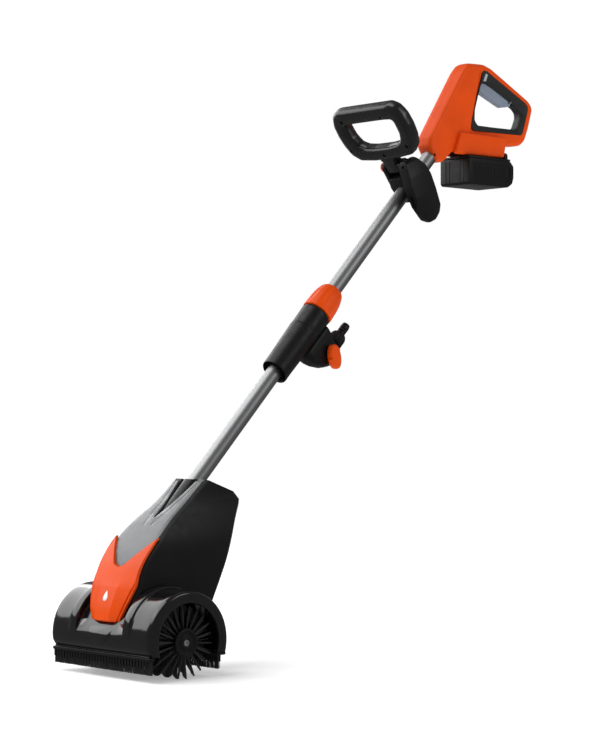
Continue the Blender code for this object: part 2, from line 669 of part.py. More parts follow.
# ---------------------------------------------------------------- rear handle

BODY = [
    (688, 948), (689, 966), (697, 978), (778, 1100), (794, 1117), (832, 1120), (822, 1070), (806, 1005),
    (800, 968), (780, 968), (760, 947), (724, 919), (706, 921),
]
LOOP_OUTER = [
    (780, 1060), (796, 1119), (842, 1121), (864, 1115), (972, 1062), (983, 1052), (985, 1043), (973, 1005),
    (962, 980), (948, 969), (900, 965.5), (780, 965.5),
]
FOOT = [(748, 938), (885, 939.5), (891, 967), (891, 980), (765, 980)]
HOLE = [
    (803, 991), (803, 1007), (820, 1060), (836, 1104), (843, 1109), (851, 1108), (962, 1056), (969, 1050),
    (970, 1041), (955, 996), (949, 990), (812, 987),
]
HOLE_INNER = [
    (820, 1010), (820, 1034), (835, 1076), (842, 1084), (852, 1084), (944, 1044), (954, 1036), (955, 1026),
    (946, 1006), (938, 1001), (830, 1000),
]
BODY_ROOM = [
    (702, 950), (712, 974), (786, 1092), (800, 1106), (818, 1106), (812, 1070), (796, 1005), (790, 974),
    (777, 974), (752, 948), (722, 930),
]
TRIGGER = [(846, 1088), (929, 1056), (925, 1046), (905, 1043), (896, 1046), (838, 1068), (838, 1078)]
TRIGGER_SLOT = [(829, 1066), (836, 1098), (846, 1101), (936, 1062), (937, 1040), (905, 1036)]
TRIGGER_PIN = (922.0, 1053.0)
LOCK_OFF = [(839, 1089), (845, 1087), (851, 1101), (845, 1103)]


def inset(outline, amount):
    """The outline moved inwards by an amount, corner by corner."""
    area = sum(a[0] * b[1] - b[0] * a[1] for a, b in zip(outline, outline[1:] + outline[:1]))
    turn = 1 if area > 0 else -1
    moved = []
    for i, point in enumerate(outline):
        before = (Vector(point) - Vector(outline[i - 1])).normalized()
        after = (Vector(outline[(i + 1) % len(outline)]) - Vector(point)).normalized()
        inward = Vector((-(before + after).y, (before + after).x)).normalized() * turn
        slope = max(0.4, abs(inward.dot(Vector((-after.y, after.x)))))
        moved.append(tuple(Vector(point) + inward * amount / slope))
    return moved


BODY_HALF = 20.0
GRIP_HALF = 15.5
BATTERY_CHANNEL = [(700, 938), (700, 946.4), (900, 946.4), (900, 930)]
for name, side in (("handle_left", -1), ("handle_right", 1)):
    near, far = (0.15, BODY_HALF) if side > 0 else (-BODY_HALF, -0.15)
    shell = make(name, prism(BODY, near, far), "orange_plastic", smooth=True)
    grip = (0.15, GRIP_HALF) if side > 0 else (-GRIP_HALF, -0.15)
    foot = (0.15, 30.0) if side > 0 else (-30.0, -0.15)
    add(shell, prism(LOOP_OUTER, *grip), prism(FOOT, *foot))
    cut(
        shell,
        prism(HOLE, -50, 50),
        prism(BODY_ROOM, -17, 17),
        prism(BATTERY_CHANNEL, -18.4, 18.4),
        prism(circle(2.4, 10, TRIGGER_PIN), -40, 40),
    )
    cut(shell, make(f"{name}_tube_hole", lathe([(BORE, 740), (BORE, 872)], 24), place=POLE))

liner = make("grip_liner", prism(inset(HOLE, FIT_GAP), -GRIP_HALF, GRIP_HALF), "rubber")
cut(
    liner,
    prism(HOLE_INNER, -50, 50),
    prism(TRIGGER_SLOT, -8.4, 8.4),
    prism(circle(2.4, 10, TRIGGER_PIN), -40, 40),
    prism(inset(LOCK_OFF, -0.4), 7.7, 40),
)
trigger = make("trigger", prism(TRIGGER, -7.6, 7.6), "grey_trigger", pivot=(0, *TRIGGER_PIN))
cut(trigger, prism(circle(2.4, 10, TRIGGER_PIN), -40, 40))
make("trigger_pin", prism(circle(2.0, 10, TRIGGER_PIN), -13.0, 13.0), "steel")
make("lock_off_button", prism(LOCK_OFF, 10, 17.5), "grey_trigger", pivot=(10, 845, 1095))
make("switch_module", prism([(782, 1052), (797, 1048), (802, 1078), (788, 1082)], -9, 9), "black_plastic")
make("control_board", prism([(728, 984), (776, 1060), (784, 1054), (738, 980)], -14, -12), "board_green")
lead_bends = [pole_point(0, 0, along) for along in (886, 840, 440)]
lead_path = [(-9, 758, 1036), (-4, 774, 1018), *lead_bends]
make("power_lead", pipe(lead_path, 3.0), "rubber", smooth=True)

# ---------------------------------------------------------------- battery

half = BATTERY_HALF_WIDTH
case_side = [(775, 884), (779, 880), (884, 880), (897, 888), (901, 900), (901, 922), (892, 931), (775, 931)]
case = make("battery_case", prism(case_side, -half, half), "black_plastic")
cut(case, block((-half + 3, 778, 884), (half - 3, 893, 940)))
lid = make("battery_lid", block((-half, 775, 931.3), (half, 891.5, 935.5)), "black_plastic")
add(lid, block((-18, 780, 933), (18, 891.5, 945.8)))
BUMP = [(886, 931.3), (886, 935), (892.5, 937), (892.5, 951), (900, 947), (901, 931.3)]
combine(lid, make("battery_lid_bump", prism(BUMP, -24, 24)), "UNION")
cut(lid, block((-11.4, 895.6, 936.4), (11.4, 910, 944.9)))
make("battery_latch", block((-11, 898, 936.8), (11, 903, 944.5)), "black_plastic", pivot=(0, 900, 940.5))
make("battery_cells", block((-half + 4, 780, 885), (half - 4, 891, 927)), "battery_cell")
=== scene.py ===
"""Looks of the cordless patio cleaner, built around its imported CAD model.

Shapes are drawn in millimetres in the part's drawing frame: the origin is on the floor under the middle of the
roller axis, X runs along the roller to the machine's right, Y runs back towards the user and Z is up. ROOT takes
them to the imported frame, in metres.
"""

import json
import math
import random

import bmesh
import bpy
import numpy as np
from mathutils import Matrix, Vector


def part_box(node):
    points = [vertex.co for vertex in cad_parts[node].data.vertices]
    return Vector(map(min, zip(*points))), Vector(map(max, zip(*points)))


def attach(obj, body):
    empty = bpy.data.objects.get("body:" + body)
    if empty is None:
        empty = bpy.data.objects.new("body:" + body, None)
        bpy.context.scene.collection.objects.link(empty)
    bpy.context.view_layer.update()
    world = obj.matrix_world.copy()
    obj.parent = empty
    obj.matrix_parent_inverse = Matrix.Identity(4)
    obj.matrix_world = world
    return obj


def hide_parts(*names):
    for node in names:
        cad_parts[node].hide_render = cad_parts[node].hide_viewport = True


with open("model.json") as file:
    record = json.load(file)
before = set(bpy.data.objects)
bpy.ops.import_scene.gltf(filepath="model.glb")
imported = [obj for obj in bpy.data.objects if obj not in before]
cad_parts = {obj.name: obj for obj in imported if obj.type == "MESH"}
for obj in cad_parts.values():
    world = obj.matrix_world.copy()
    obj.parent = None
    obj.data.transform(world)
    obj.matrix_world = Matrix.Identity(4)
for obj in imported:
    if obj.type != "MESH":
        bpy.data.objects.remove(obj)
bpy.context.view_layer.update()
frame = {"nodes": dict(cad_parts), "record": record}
random.seed(11)
scene = bpy.context.scene

# -------- frames

roller_low, roller_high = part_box("drive_shaft")
ROLLER_MIDDLE = (roller_low + roller_high) / 2
ROLLER_Z = 61.0
ROOT = Matrix.Translation((0, ROLLER_MIDDLE.y, ROLLER_MIDDLE.z - ROLLER_Z / 1000)) @ Matrix.Scale(0.001, 4)

POLE_ANGLE = math.radians(46.4)
POLE_START = Vector((0.0, 158.5, 356.5))
POLE = Matrix.Translation(POLE_START) @ Matrix(
    (
        (1, 0, 0, 0),
        (0, math.sin(POLE_ANGLE), math.cos(POLE_ANGLE), 0),
        (0, -math.cos(POLE_ANGLE), math.sin(POLE_ANGLE), 0),
        (0, 0, 0, 1),
    )
)
ALONG_X = Matrix(((0, 0, 1, 0), (1, 0, 0, 0), (0, 1, 0, 0), (0, 0, 0, 1)))


def frame_on(origin, direction):
    """Matrix that puts the local Z axis on a direction of the side plane, with local X kept on world X."""
    direction = Vector(direction).normalized()
    side = Vector((1, 0, 0))
    turn = Matrix((side, direction.cross(side), direction)).transposed()
    return Matrix.Translation(Vector(origin)) @ turn.to_4x4()


MOTOR_ANGLE = math.radians(55.0)
MOTOR = frame_on((0, 0, ROLLER_Z), (0, math.cos(MOTOR_ANGLE), math.sin(MOTOR_ANGLE)))
ROLLER = Matrix.Translation((0, 0, ROLLER_Z)) @ ALONG_X
HOOD_Z = 63.5
HOOD_AXIS = Matrix.Translation((0, 0, HOOD_Z)) @ ALONG_X
PIVOT_BOLT = Vector((0.0, 612.0, 905.0))
PIVOT = Matrix.Translation(PIVOT_BOLT) @ ALONG_X
LEVER_OFFSET = 36.5
LEVER_DIRECTION = (0, 0.416, -0.909)
LEVER = frame_on(PIVOT_BOLT + Vector((LEVER_OFFSET, 0, 0)), LEVER_DIRECTION)
LOOP_LEAN = math.radians(127.6)
LOOP_FOOT = (0, 616.5, 903.2)
LOOP = frame_on(LOOP_FOOT, (0, math.cos(LOOP_LEAN), math.sin(LOOP_LEAN)))
TAP_BELOW, TAP_ALONG = 67, 319
TAP = Matrix.Translation(POLE @ Vector((0, TAP_BELOW, TAP_ALONG))) @ ALONG_X
CONNECTOR_BELOW = 67.5
CONNECTOR = POLE @ Matrix.Translation((0, CONNECTOR_BELOW, 0))

# -------- materials

MATERIALS = {}
COAT_ROUGHNESS = 0.06
BUMP_HEIGHT = 0.0004
# Noise scale of the colour patches and of the roughness patches: plain, and along a streak.
COLOUR_SCALE, STREAK_COLOUR_SCALE = 22.0, 260.0
ROUGH_SCALE, STREAK_ROUGH_SCALE = 70.0, 420.0


def finish(name, colour, rough, metal=0.0, coat=0.0, grain=(900.0, 0.05), vary=0.06, rough_vary=0.05,
           streak=None, sheen=0.0, specular=0.5, glow=0.0):
    """Principled material with slight colour variation, uneven roughness and a fine surface grain.

    grain is (scale, strength) of the bump. streak, when given, is (turn about X, stretch): the texture is drawn
    out along the direction that the turn puts on the texture's Z axis."""
    made = bpy.data.materials.new(name)
    made.use_nodes = True
    tree = made.node_tree
    nodes, links = tree.nodes, tree.links
    shader = nodes["Principled BSDF"]
    for socket, value in (
        ("Metallic", metal), ("Coat Weight", coat), ("Coat Roughness", COAT_ROUGHNESS), ("Sheen Weight", sheen),
        ("Specular IOR Level", specular),
    ):
        shader.inputs[socket].default_value = value
    if glow:
        shader.inputs["Emission Color"].default_value = (1, 1, 1, 1)
        shader.inputs["Emission Strength"].default_value = glow
    where = nodes.new("ShaderNodeTexCoord").outputs["Object"]
    if streak:
        turn = nodes.new("ShaderNodeMapping")
        turn.vector_type = "POINT"
        turn.inputs["Rotation"].default_value = (streak[0], 0, 0)
        turn.inputs["Scale"].default_value = (1, 1, streak[1])
        links.new(where, turn.inputs["Vector"])
        where = turn.outputs["Vector"]

    def noise(scale, detail=2.0):
        made_noise = nodes.new("ShaderNodeTexNoise")
        made_noise.inputs["Scale"].default_value = scale
        made_noise.inputs["Detail"].default_value = detail
        links.new(where, made_noise.inputs["Vector"])
        return made_noise.outputs["Fac"]

    def ranged(value, low, high):
        made_range = nodes.new("ShaderNodeMapRange")
        for socket, number in (("From Min", 0.3), ("From Max", 0.7), ("To Min", low), ("To Max", high)):
            made_range.inputs[socket].default_value = number
        links.new(value, made_range.inputs["Value"])
        return made_range.outputs["Result"]

    mix = nodes.new("ShaderNodeMix")
    mix.data_type = "RGBA"
    mix.inputs["A"].default_value = (*[c * (1 - vary) for c in colour], 1)
    mix.inputs["B"].default_value = (*[min(1.0, c * (1 + vary)) for c in colour], 1)
    patches = noise(STREAK_COLOUR_SCALE if streak else COLOUR_SCALE, 4.0)
    links.new(ranged(patches, 0.0, 1.0), mix.inputs["Factor"])
    links.new(mix.outputs["Result"], shader.inputs["Base Color"])
    wear = noise(STREAK_ROUGH_SCALE if streak else ROUGH_SCALE, 3.0)
    links.new(ranged(wear, rough - rough_vary, rough + rough_vary), shader.inputs["Roughness"])
    bump = nodes.new("ShaderNodeBump")
    bump.inputs["Strength"].default_value = grain[1]
    bump.inputs["Distance"].default_value = BUMP_HEIGHT
    links.new(noise(grain[0], 2.0), bump.inputs["Height"])
    links.new(bump.outputs["Normal"], shader.inputs["Normal"])
    MATERIALS[name] = made
    return made


finish("orange_plastic", (0.80, 0.078, 0.005), 0.36, grain=(1500, 0.03), specular=0.12)
finish("black_gloss_plastic", (0.0045, 0.0045, 0.005), 0.12, grain=(500, 0.02), vary=0.15, rough_vary=0.03)
finish("black_plastic", (0.0055, 0.0055, 0.006), 0.40, grain=(1700, 0.22), vary=0.15, rough_vary=0.06,
       specular=0.22)
finish("grey_panel", (0.105, 0.108, 0.112), 0.36, metal=0.3, grain=(2200, 0.08), specular=0.36)
finish("grey_trigger", (0.22, 0.26, 0.33), 0.38, grain=(1600, 0.08))
finish("aluminium_tube", (0.27, 0.272, 0.276), 0.46, metal=1.0, grain=(900, 0.001), vary=0.02, rough_vary=0.004,
       streak=(POLE_ANGLE - math.pi / 2, 0.02))
finish("lock_grey", (0.42, 0.44, 0.48), 0.35, grain=(1600, 0.08))
finish("loop_black", (0.0075, 0.0075, 0.008), 0.24, grain=(1200, 0.02), vary=0.15, rough_vary=0.04,
       specular=0.45)
finish("steel", (0.46, 0.46, 0.47), 0.30, metal=1.0, grain=(1200, 0.08))
finish("brass", (0.62, 0.42, 0.16), 0.30, metal=1.0, grain=(1200, 0.08))
finish("bristle", (0.016, 0.016, 0.017), 0.36, vary=0.4, grain=(1500, 0.1), sheen=0.1)
finish("rubber", (0.016, 0.017, 0.018), 0.60, grain=(1900, 0.45), vary=0.15)
finish("badge_white", (0.80, 0.80, 0.80), 0.30, coat=0.3, grain=(1500, 0.05), vary=0.02)
finish("board_green", (0.02, 0.15, 0.05), 0.4, coat=0.3)
finish("battery_cell", (0.05, 0.22, 0.26), 0.35, coat=0.3)


# -------- shapes: each is (points, faces), in millimetres


def circle(radius, segments=48, centre=(0.0, 0.0)):
    angles = [i * (2 * math.pi / segments) for i in range(segments)]
    return [(centre[0] + radius * math.cos(a), centre[1] + radius * math.sin(a)) for a in angles]


def oval(half_width, half_height, segments=64, power=2.0):
    """A rounded outline; a power above 2 makes it squarer."""
    points = []
    for i in range(segments):
        a = 2 * math.pi * (i + 0.5) / segments
        c, s = math.cos(a), math.sin(a)
        across, up = math.copysign(abs(c) ** (2 / power), c), math.copysign(abs(s) ** (2 / power), s)
        points.append((half_width * across, half_height * up))
    return points


def rounded(outline, radius, steps=5, closed=True):
    """The outline with its corners rounded. The radius is one number, or one for each corner."""
    n = len(outline)
    radii = radius if isinstance(radius, (list, tuple)) else [radius] * n
    points = []
    for i, corner in enumerate(outline):
        if not closed and i in (0, n - 1):
            points.append(tuple(corner))
            continue
        here = Vector(corner)
        before, after = Vector(outline[i - 1]) - here, Vector(outline[(i + 1) % n]) - here
        turn = math.pi - before.angle(after)
        reach = min(radii[i] * math.tan(turn / 2), 0.48 * before.length, 0.48 * after.length)
        if reach < 0.02:
            points.append(tuple(corner))
            continue
        start, end = here + before.normalized() * reach, here + after.normalized() * reach
        for k in range(steps + 1):
            t = k / steps
            points.append(tuple(start * (1 - t) ** 2 + here * 2 * t * (1 - t) + end * t * t))
    return points


def loft(rings, closed=False):
    """Rings with equal point counts, joined in order: capped at both ends, or closed to a loop."""
    n, count = len(rings[0]), len(rings)
    points = [tuple(p) for ring in rings for p in ring]
    faces = []
    for k in range(count if closed else count - 1):
        a, b = k * n, ((k + 1) % count) * n
        faces += [[a + i, a + (i + 1) % n, b + (i + 1) % n, b + i] for i in range(n)]
    if not closed:
        faces += [list(range(n)), list(range((count - 1) * n, count * n))]
    return points, faces


def prism(outline, low, high, along="x"):
    """Straight extrusion of a closed outline. The outline is in (y, z), (x, z) or (x, y)."""
    place = {
        "x": lambda p, d: (d, p[0], p[1]),
        "y": lambda p, d: (p[0], d, p[1]),
        "z": lambda p, d: (p[0], p[1], d),
    }[along]
    return loft([[place(p, low) for p in outline], [place(p, high) for p in outline]])


def block(low, high):
    outline = [(low[0], low[1]), (high[0], low[1]), (high[0], high[1]), (low[0], high[1])]
    return prism(outline, low[2], high[2], "z")


def lathe(profile, segments=64):
    """Solid bar: (radius, height) points from one end to the other, turned about Z and capped."""
    return loft([[(x, y, h) for x, y in circle(r, segments)] for r, h in profile if r > 0])


def sleeve(profile, segments=64):
    """Ring: a closed (radius, height) outline that stays off the axis, turned about Z."""
    return loft([[(x, y, h) for x, y in circle(r, segments)] for r, h in profile], closed=True)


def pipe(path, radius, segments=16):
    """Round bar along a path of points in space."""
    path = [Vector(p) for p in path]
    rings = []
    up = Vector((1, 0, 0.01))
    for i, p in enumerate(path):
        ahead = path[min(i + 1, len(path) - 1)] - path[max(i - 1, 0)]
        side = up.cross(ahead).normalized()
        up = ahead.cross(side).normalized()
        rings.append([p + side * x + up * y for x, y in circle(radius, segments)])
    return loft(rings)


def turned(radius_at, height, count):
    """Level ring whose radius depends on the angle."""
    angles = [2 * math.pi * i / count for i in range(count)]
    return [(radius_at(a) * math.cos(a), radius_at(a) * math.sin(a), height) for a in angles]


def joined(*shapes):
    """Several shapes as one, with no Boolean: for loose details that share an object."""
    points, faces = [], []
    for shape_points, shape_faces in shapes:
        start = len(points)
        points += list(shape_points)
        faces += [[start + i for i in face] for face in shape_faces]
    return points, faces


def moved(shape, matrix):
    return [tuple(matrix @ Vector(p)) for p in shape[0]], shape[1]


def solid(name, shape, place=None, bevel=0.0, steps=3, angle=25.0):
    """Mesh object from a shape, with an optional rounding of its sharp edges."""
    matrix = ROOT @ (place or Matrix())
    mesh = bpy.data.meshes.new(name)
    mesh.from_pydata([matrix @ Vector(p) for p in shape[0]], [], shape[1])
    shell = bmesh.new()
    shell.from_mesh(mesh)
    bmesh.ops.remove_doubles(shell, verts=shell.verts, dist=0.000002)
    bmesh.ops.recalc_face_normals(shell, faces=shell.faces)
    shell.to_mesh(mesh)
    shell.free()
    obj = bpy.data.objects.new(name, mesh)
    scene.collection.objects.link(obj)
    if bevel:
        round_edges(obj, bevel, steps, angle)
    return obj


def bake(obj):
    """Turns the object's modifiers into its mesh."""
    bpy.context.view_layer.update()
    mesh = bpy.data.meshes.new_from_object(obj.evaluated_get(bpy.context.evaluated_depsgraph_get()))
    obj.modifiers.clear()
    obj.data = mesh
    return obj


def round_edges(obj, width, steps=3, angle=25.0):
    step = obj.modifiers.new("round", "BEVEL")
    step.width = width / 1000
    step.segments = steps
    step.limit_method = "ANGLE"
    step.angle_limit = math.radians(angle)
    step.miter_outer = "MITER_ARC"
    return bake(obj)


def combine(obj, others, operation):
    for other in others:
        step = obj.modifiers.new(operation.lower(), "BOOLEAN")
        step.operation = operation
        step.solver = "EXACT"
        step.object = other
    bake(obj)
    for other in others:
        bpy.data.objects.remove(other)
    return obj


def cut(obj, *others):
    return combine(obj, others, "DIFFERENCE")


def add(obj, *others):
    return combine(obj, others, "UNION")


def show(obj, material, body, stands_for=(), sharp=35.0):
    """Finishes a piece: shading, material, the body that it rides on and the CAD nodes that it stands for."""
    obj.data.shade_smooth()
    obj.data.set_sharp_from_angle(angle=math.radians(sharp))
    obj.data.materials.clear()
    obj.data.materials.append(MATERIALS[material])
    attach(obj, body)
    if stands_for:
        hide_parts(*stands_for)
    return obj


def bore(radius, low, high, place, segments=64):
    """Round bar that cuts a bore."""
    return solid("bore", lathe([(radius, low), (radius, high)], segments), place)


# -------- camera, light and floor

CAMERA_LENS = 105.74
CAMERA_PLACE = (2.8891, -2.6991, 0.4530)
CAMERA_AIM = Vector((-0.7411, 0.6711, 0.0180))
camera = bpy.data.objects.new("camera", bpy.data.cameras.new("camera"))
scene.collection.objects.link(camera)
camera.data.lens = CAMERA_LENS
camera.location = CAMERA_PLACE
camera.rotation_euler = CAMERA_AIM.to_track_quat("-Z", "Y").to_euler()
camera.data.clip_end = 200
scene.camera = camera
scene.view_settings.view_transform = "Standard"

# The backdrop is white where it is seen, and lights the machine only dimly.
BACKDROP_LIGHT, BACKDROP_SEEN = 0.22, 1.0
world = bpy.data.worlds.new("studio")
world.use_nodes = True
scene.world = world
tree = world.node_tree
back = tree.nodes["Background"]
seen = tree.nodes.new("ShaderNodeBackground")
for background, strength in ((back, BACKDROP_LIGHT), (seen, BACKDROP_SEEN)):
    background.inputs["Color"].default_value = (1, 1, 1, 1)
    background.inputs["Strength"].default_value = strength
choose = tree.nodes.new("ShaderNodeMixShader")
ray = tree.nodes.new("ShaderNodeLightPath")
tree.links.new(ray.outputs["Is Camera Ray"], choose.inputs["Fac"])
tree.links.new(back.outputs["Background"], choose.inputs[1])
tree.links.new(seen.outputs["Background"], choose.inputs[2])
tree.links.new(choose.outputs["Shader"], tree.nodes["World Output"].inputs["Surface"])


def softbox(name, place, target, size, power, diffuse=True, glossy=True):
    light = bpy.data.lights.new(name, "AREA")
    light.shape = "RECTANGLE"
    light.size, light.size_y = size
    light.energy = power
    lamp = bpy.data.objects.new(name, light)
    scene.collection.objects.link(lamp)
    lamp.location = place
    lamp.rotation_euler = (Vector(target) - Vector(place)).to_track_quat("-Z", "Y").to_euler()
    lamp.visible_camera = False
    lamp.visible_diffuse = diffuse
    lamp.visible_glossy = glossy


softbox("left_box", (-3.0, -0.7, 2.3), (0, -0.2, 0.4), (1.2, 1.6), 30, glossy=False)
softbox("left_sheen", (-2.35, -0.95, 1.85), (0, -0.45, 0.1), (3.9, 2.1), 75, diffuse=False)
softbox("edge_box", (-2.9, 0.9, 0.7), (0, 0, 0.6), (0.35, 2.2), 8)
softbox("right_box", (2.6, 1.2, 1.9), (0, 0, 0.5), (1.0, 1.6), 16)
key = bpy.data.lights.new("key", "SUN")
key.energy = 2.0
key.angle = math.radians(50)
key_lamp = bpy.data.objects.new("key", key)
scene.collection.objects.link(key_lamp)
key_lamp.rotation_euler = Vector((0.25, 0.55, -0.95)).to_track_quat("-Z", "Y").to_euler()

FLOOR_HALF = 40
floor_mesh = bpy.data.meshes.new("floor")
floor_corners = [(x * FLOOR_HALF, y * FLOOR_HALF, 0) for x, y in ((-1, -1), (1, -1), (1, 1), (-1, 1))]
floor_mesh.from_pydata(floor_corners, [], [(0, 1, 2, 3)])
floor = bpy.data.objects.new("floor", floor_mesh)
scene.collection.objects.link(floor)
floor_white = finish("floor", (0.94, 0.94, 0.94), 0.8, vary=0.005, grain=(60, 0.02), specular=0.1, glow=0.34)
floor_mesh.materials.append(floor_white)
floor.visible_glossy = False

# -------- CAD nodes that stay

for entry in frame["record"]["subparts"]:
    node = frame["nodes"][entry["node"]]
    node.data.materials.clear()
    node.data.materials.append(MATERIALS[entry["material_slot"]])

# -------- pole, coupling and water valve

TUBE_RADIUS = 14.3
TUBE_WALL = 1.6
BORE = TUBE_RADIUS + 0.3


def tube_profile(low, high, edge=0.4):
    """Wall of a pole tube, with broken outer edges at its ends."""
    inner, outer = TUBE_RADIUS - TUBE_WALL, TUBE_RADIUS
    return [(inner, low), (outer - edge, low), (outer, low + edge), (outer, high - edge), (outer - edge, high),
            (inner, high)]


for name, low, high, body in (("lower_tube", -150, 296, "brush_head"), ("upper_tube", 304, 868, "pole_handle")):
    show(solid(f"{name}_skin", sleeve(tube_profile(low, high), 96), POLE), "aluminium_tube", body, [name])

# Coupling: a tapered grip with a hollow, flared mouth that leans back below the pole.
# Radius, place along the pole, and how far the ring leans back.
OUTSIDE_LINE = [
    (24.0, 215.6, 0.11), (24.9, 215.2, 0.11), (25.5, 216.2, 0.11), (25.7, 218.6, 0.10), (25.5, 224, 0.06),
    (25.6, 232, 0.02), (26.2, 255, 0.0), (27.0, 280, 0.0), (27.8, 310, 0.0), (28.0, 316.6, 0.0),
    (27.6, 318.2, 0.0), (27.3, 318.8, 0.0), (27.3, 320, 0.0), (27.7, 342, 0.0), (28.1, 356, 0.0),
    (28.1, 360.4, 0.0), (27.4, 361.6, 0.0),
]
INSIDE_LINE = [
    (18.0, 361.6, 0.0), (17.9, 341.3, 0.0), (BORE, 341, 0.0), (BORE, 246, 0.0), (17.0, 240, 0.02),
    (21.0, 230, 0.08), (22.8, 223, 0.10), (23.4, 216.9, 0.11),
]
rings = []
for radius, along, lean in OUTSIDE_LINE + INSIDE_LINE:
    rings.append([(x, y, along - lean * y) for x, y in circle(radius, 96)])
show(solid("coupling_grip", loft(rings, closed=True), POLE), "black_plastic", "brush_head", ["coupling_body"])

# Valve housing: a rounded pod under the coupling, with a thin raised seam round its middle.
VALVE_SIDE = [
    (20, 277.5), (38, 279), (48, 281.5), (60, 287), (71, 295), (81, 307), (87, 318), (88.5, 332), (85.5, 345),
    (78, 351.5), (54, 352), (42, 356), (20, 361),
]
valve_line = rounded(VALVE_SIDE, 9, 4)
VALVE_MIDDLE = Vector((46, 318))
VALVE_HALF = 19.6
SEAM_CORNERS = ((-0.5, -1), (-0.4, 0.35), (0.4, 0.35), (0.5, -1))


def scaled_line(line, middle, share):
    return [(middle.x + (a - middle.x) * share, middle.y + (b - middle.y) * share) for a, b in line]


rings = []
for k in range(13):
    angle = math.pi * k / 12 - math.pi / 2
    x = VALVE_HALF * math.sin(angle)
    swell = 0.72 + 0.28 * math.cos(angle) ** 0.7 if abs(math.cos(angle)) > 1e-6 else 0.72
    rings.append([(x, a, b) for a, b in scaled_line(valve_line, VALVE_MIDDLE, swell)])
valve = solid("valve_pod", loft(rings), POLE, 1.2, 2, 40)
COUPLING_ROOM = [(25.2, 190), (25.6, 240), (26.8, 280), (27.4, 310), (27.6, 342), (27.9, 400)]
cut(valve, solid("coupling_room", lathe(COUPLING_ROOM), POLE), bore(9.4, 15.6, 40, TAP, 48))
show(valve, "black_plastic", "brush_head", ["valve_housing"])
rib = []
for a, b in scaled_line([p for p in valve_line if p[0] > 30], VALVE_MIDDLE, 1.006):
    out = (Vector((a, b)) - VALVE_MIDDLE).normalized()
    rib.append([(x, a + out.x * lift, b + out.y * lift) for x, lift in SEAM_CORNERS])
show(solid("valve_seam", loft(rib), POLE), "black_plastic", "brush_head")

# Tap: a brass plug that carries an orange wing knob.
plug = solid("tap_plug", lathe([(7.2, -9.5), (8.0, -9.0), (8.0, 19.4)], 48), TAP)
show(plug, "brass", "tap", ["valve_plug"])
KNOB_TURN = math.radians(-78)
knob_place = TAP @ Matrix.Rotation(KNOB_TURN, 4, "Z")
rings = []
# Place on the tap's axis, half width, half height and squareness of each ring.
for x, wide, tall, power in (
    (19.6, 8.2, 8.2, 2.0), (21.0, 8.6, 8.6, 2.0), (22.0, 14.6, 10.0, 2.2), (23.4, 20.6, 11.4, 2.3),
    (25.0, 22.4, 12.0, 2.3), (31.5, 22.8, 12.0, 2.3), (34.6, 22.0, 11.4, 2.3), (36.6, 20.0, 10.0, 2.2),
    (37.4, 17.0, 7.8, 2.1),
):
    rings.append([(a, b, x) for a, b in oval(wide, tall, 56, power)])
knob = solid("tap_knob", loft(rings), knob_place)
cut(knob, *[bore(3.2, 24, 60, knob_place @ Matrix.Translation((0, side * 13.6, 0)), 24) for side in (-1, 1)])
show(knob, "orange_plastic", "tap", ["valve_lever"])

# Hose connector: quick-release nipple with a knurled ring behind it.
NIPPLE_LINE = [
    (3.6, 352), (8.4, 352), (8.4, 382.5), (6.7, 384.5), (6.7, 388.5), (8.4, 390.5), (8.4, 396), (7.2, 402),
    (5.4, 402.6), (3.6, 402.6),
]
nipple = solid("connector_nipple", sleeve(rounded(NIPPLE_LINE, 0.5, 3), 64), CONNECTOR)
show(nipple, "black_plastic", "brush_head", ["hose_connector"])
seal_line = [(r + 7.35, h + 386.5) for r, h in circle(1.1, 12)]
show(solid("connector_seal", sleeve(seal_line, 48), CONNECTOR), "rubber", "brush_head")
KNURLS = 26
KNURL_DEPTH = 0.55
RING_RADIUS, RING_BORE = 14.9, 8.7
RING_LINE = ((1.6, 352), (0.8, 352.6), (0.0, 354), (0.0, 370), (0.9, 373.6), (2.2, 376), (3.6, 377))


def knurled(depth, height):
    ridge = KNURL_DEPTH if 353 < height < 371 else 0.0
    return turned(lambda a: RING_RADIUS - depth + ridge * math.cos(KNURLS * a), height, KNURLS * 6)


rings = [knurled(depth, height) for depth, height in RING_LINE]
rings += [turned(lambda a: RING_BORE, height, KNURLS * 6) for height in (377, 352)]
knurl = solid("connector_knurl", loft(rings, closed=True), CONNECTOR)
show(knurl, "black_plastic", "brush_head", ["connector_ring"])

# Clamp nut: an orange cap with eight soft finger flutes.
NUT_LINE = [
    (28.3, 364.6), (29.1, 365.4), (29.3, 368.5), (29.0, 376), (28.4, 388), (27.2, 400), (25.4, 409),
    (23.2, 416), (20.8, 420.6), (18.2, 423.2), (16.0, 424.0),
]
FLUTES = 8
FLUTE_DEPTH = 1.25


def fluted(radius, along):
    """Ring of the nut; the flutes fade out towards both of its ends."""
    fade = min(1.0, max(0.0, (along - 368) / 10)) * min(1.0, max(0.0, (421 - along) / 10))
    return turned(lambda a: radius - FLUTE_DEPTH * fade * max(0.0, math.cos(FLUTES * a)) ** 1.5, along, 144)


rings = [fluted(radius, along) for radius, along in NUT_LINE]
for radius, along in ((14.9, 423.2), (14.8, 418), (17.9, 417), (17.9, 364.6)):
    rings.append([(x, y, along) for x, y in circle(radius, 144)])
show(solid("nut_cap", loft(rings, closed=True), POLE), "orange_plastic", "collar_nut", ["collar_nut"], 50)

# -------- tower, cover, panel and badge

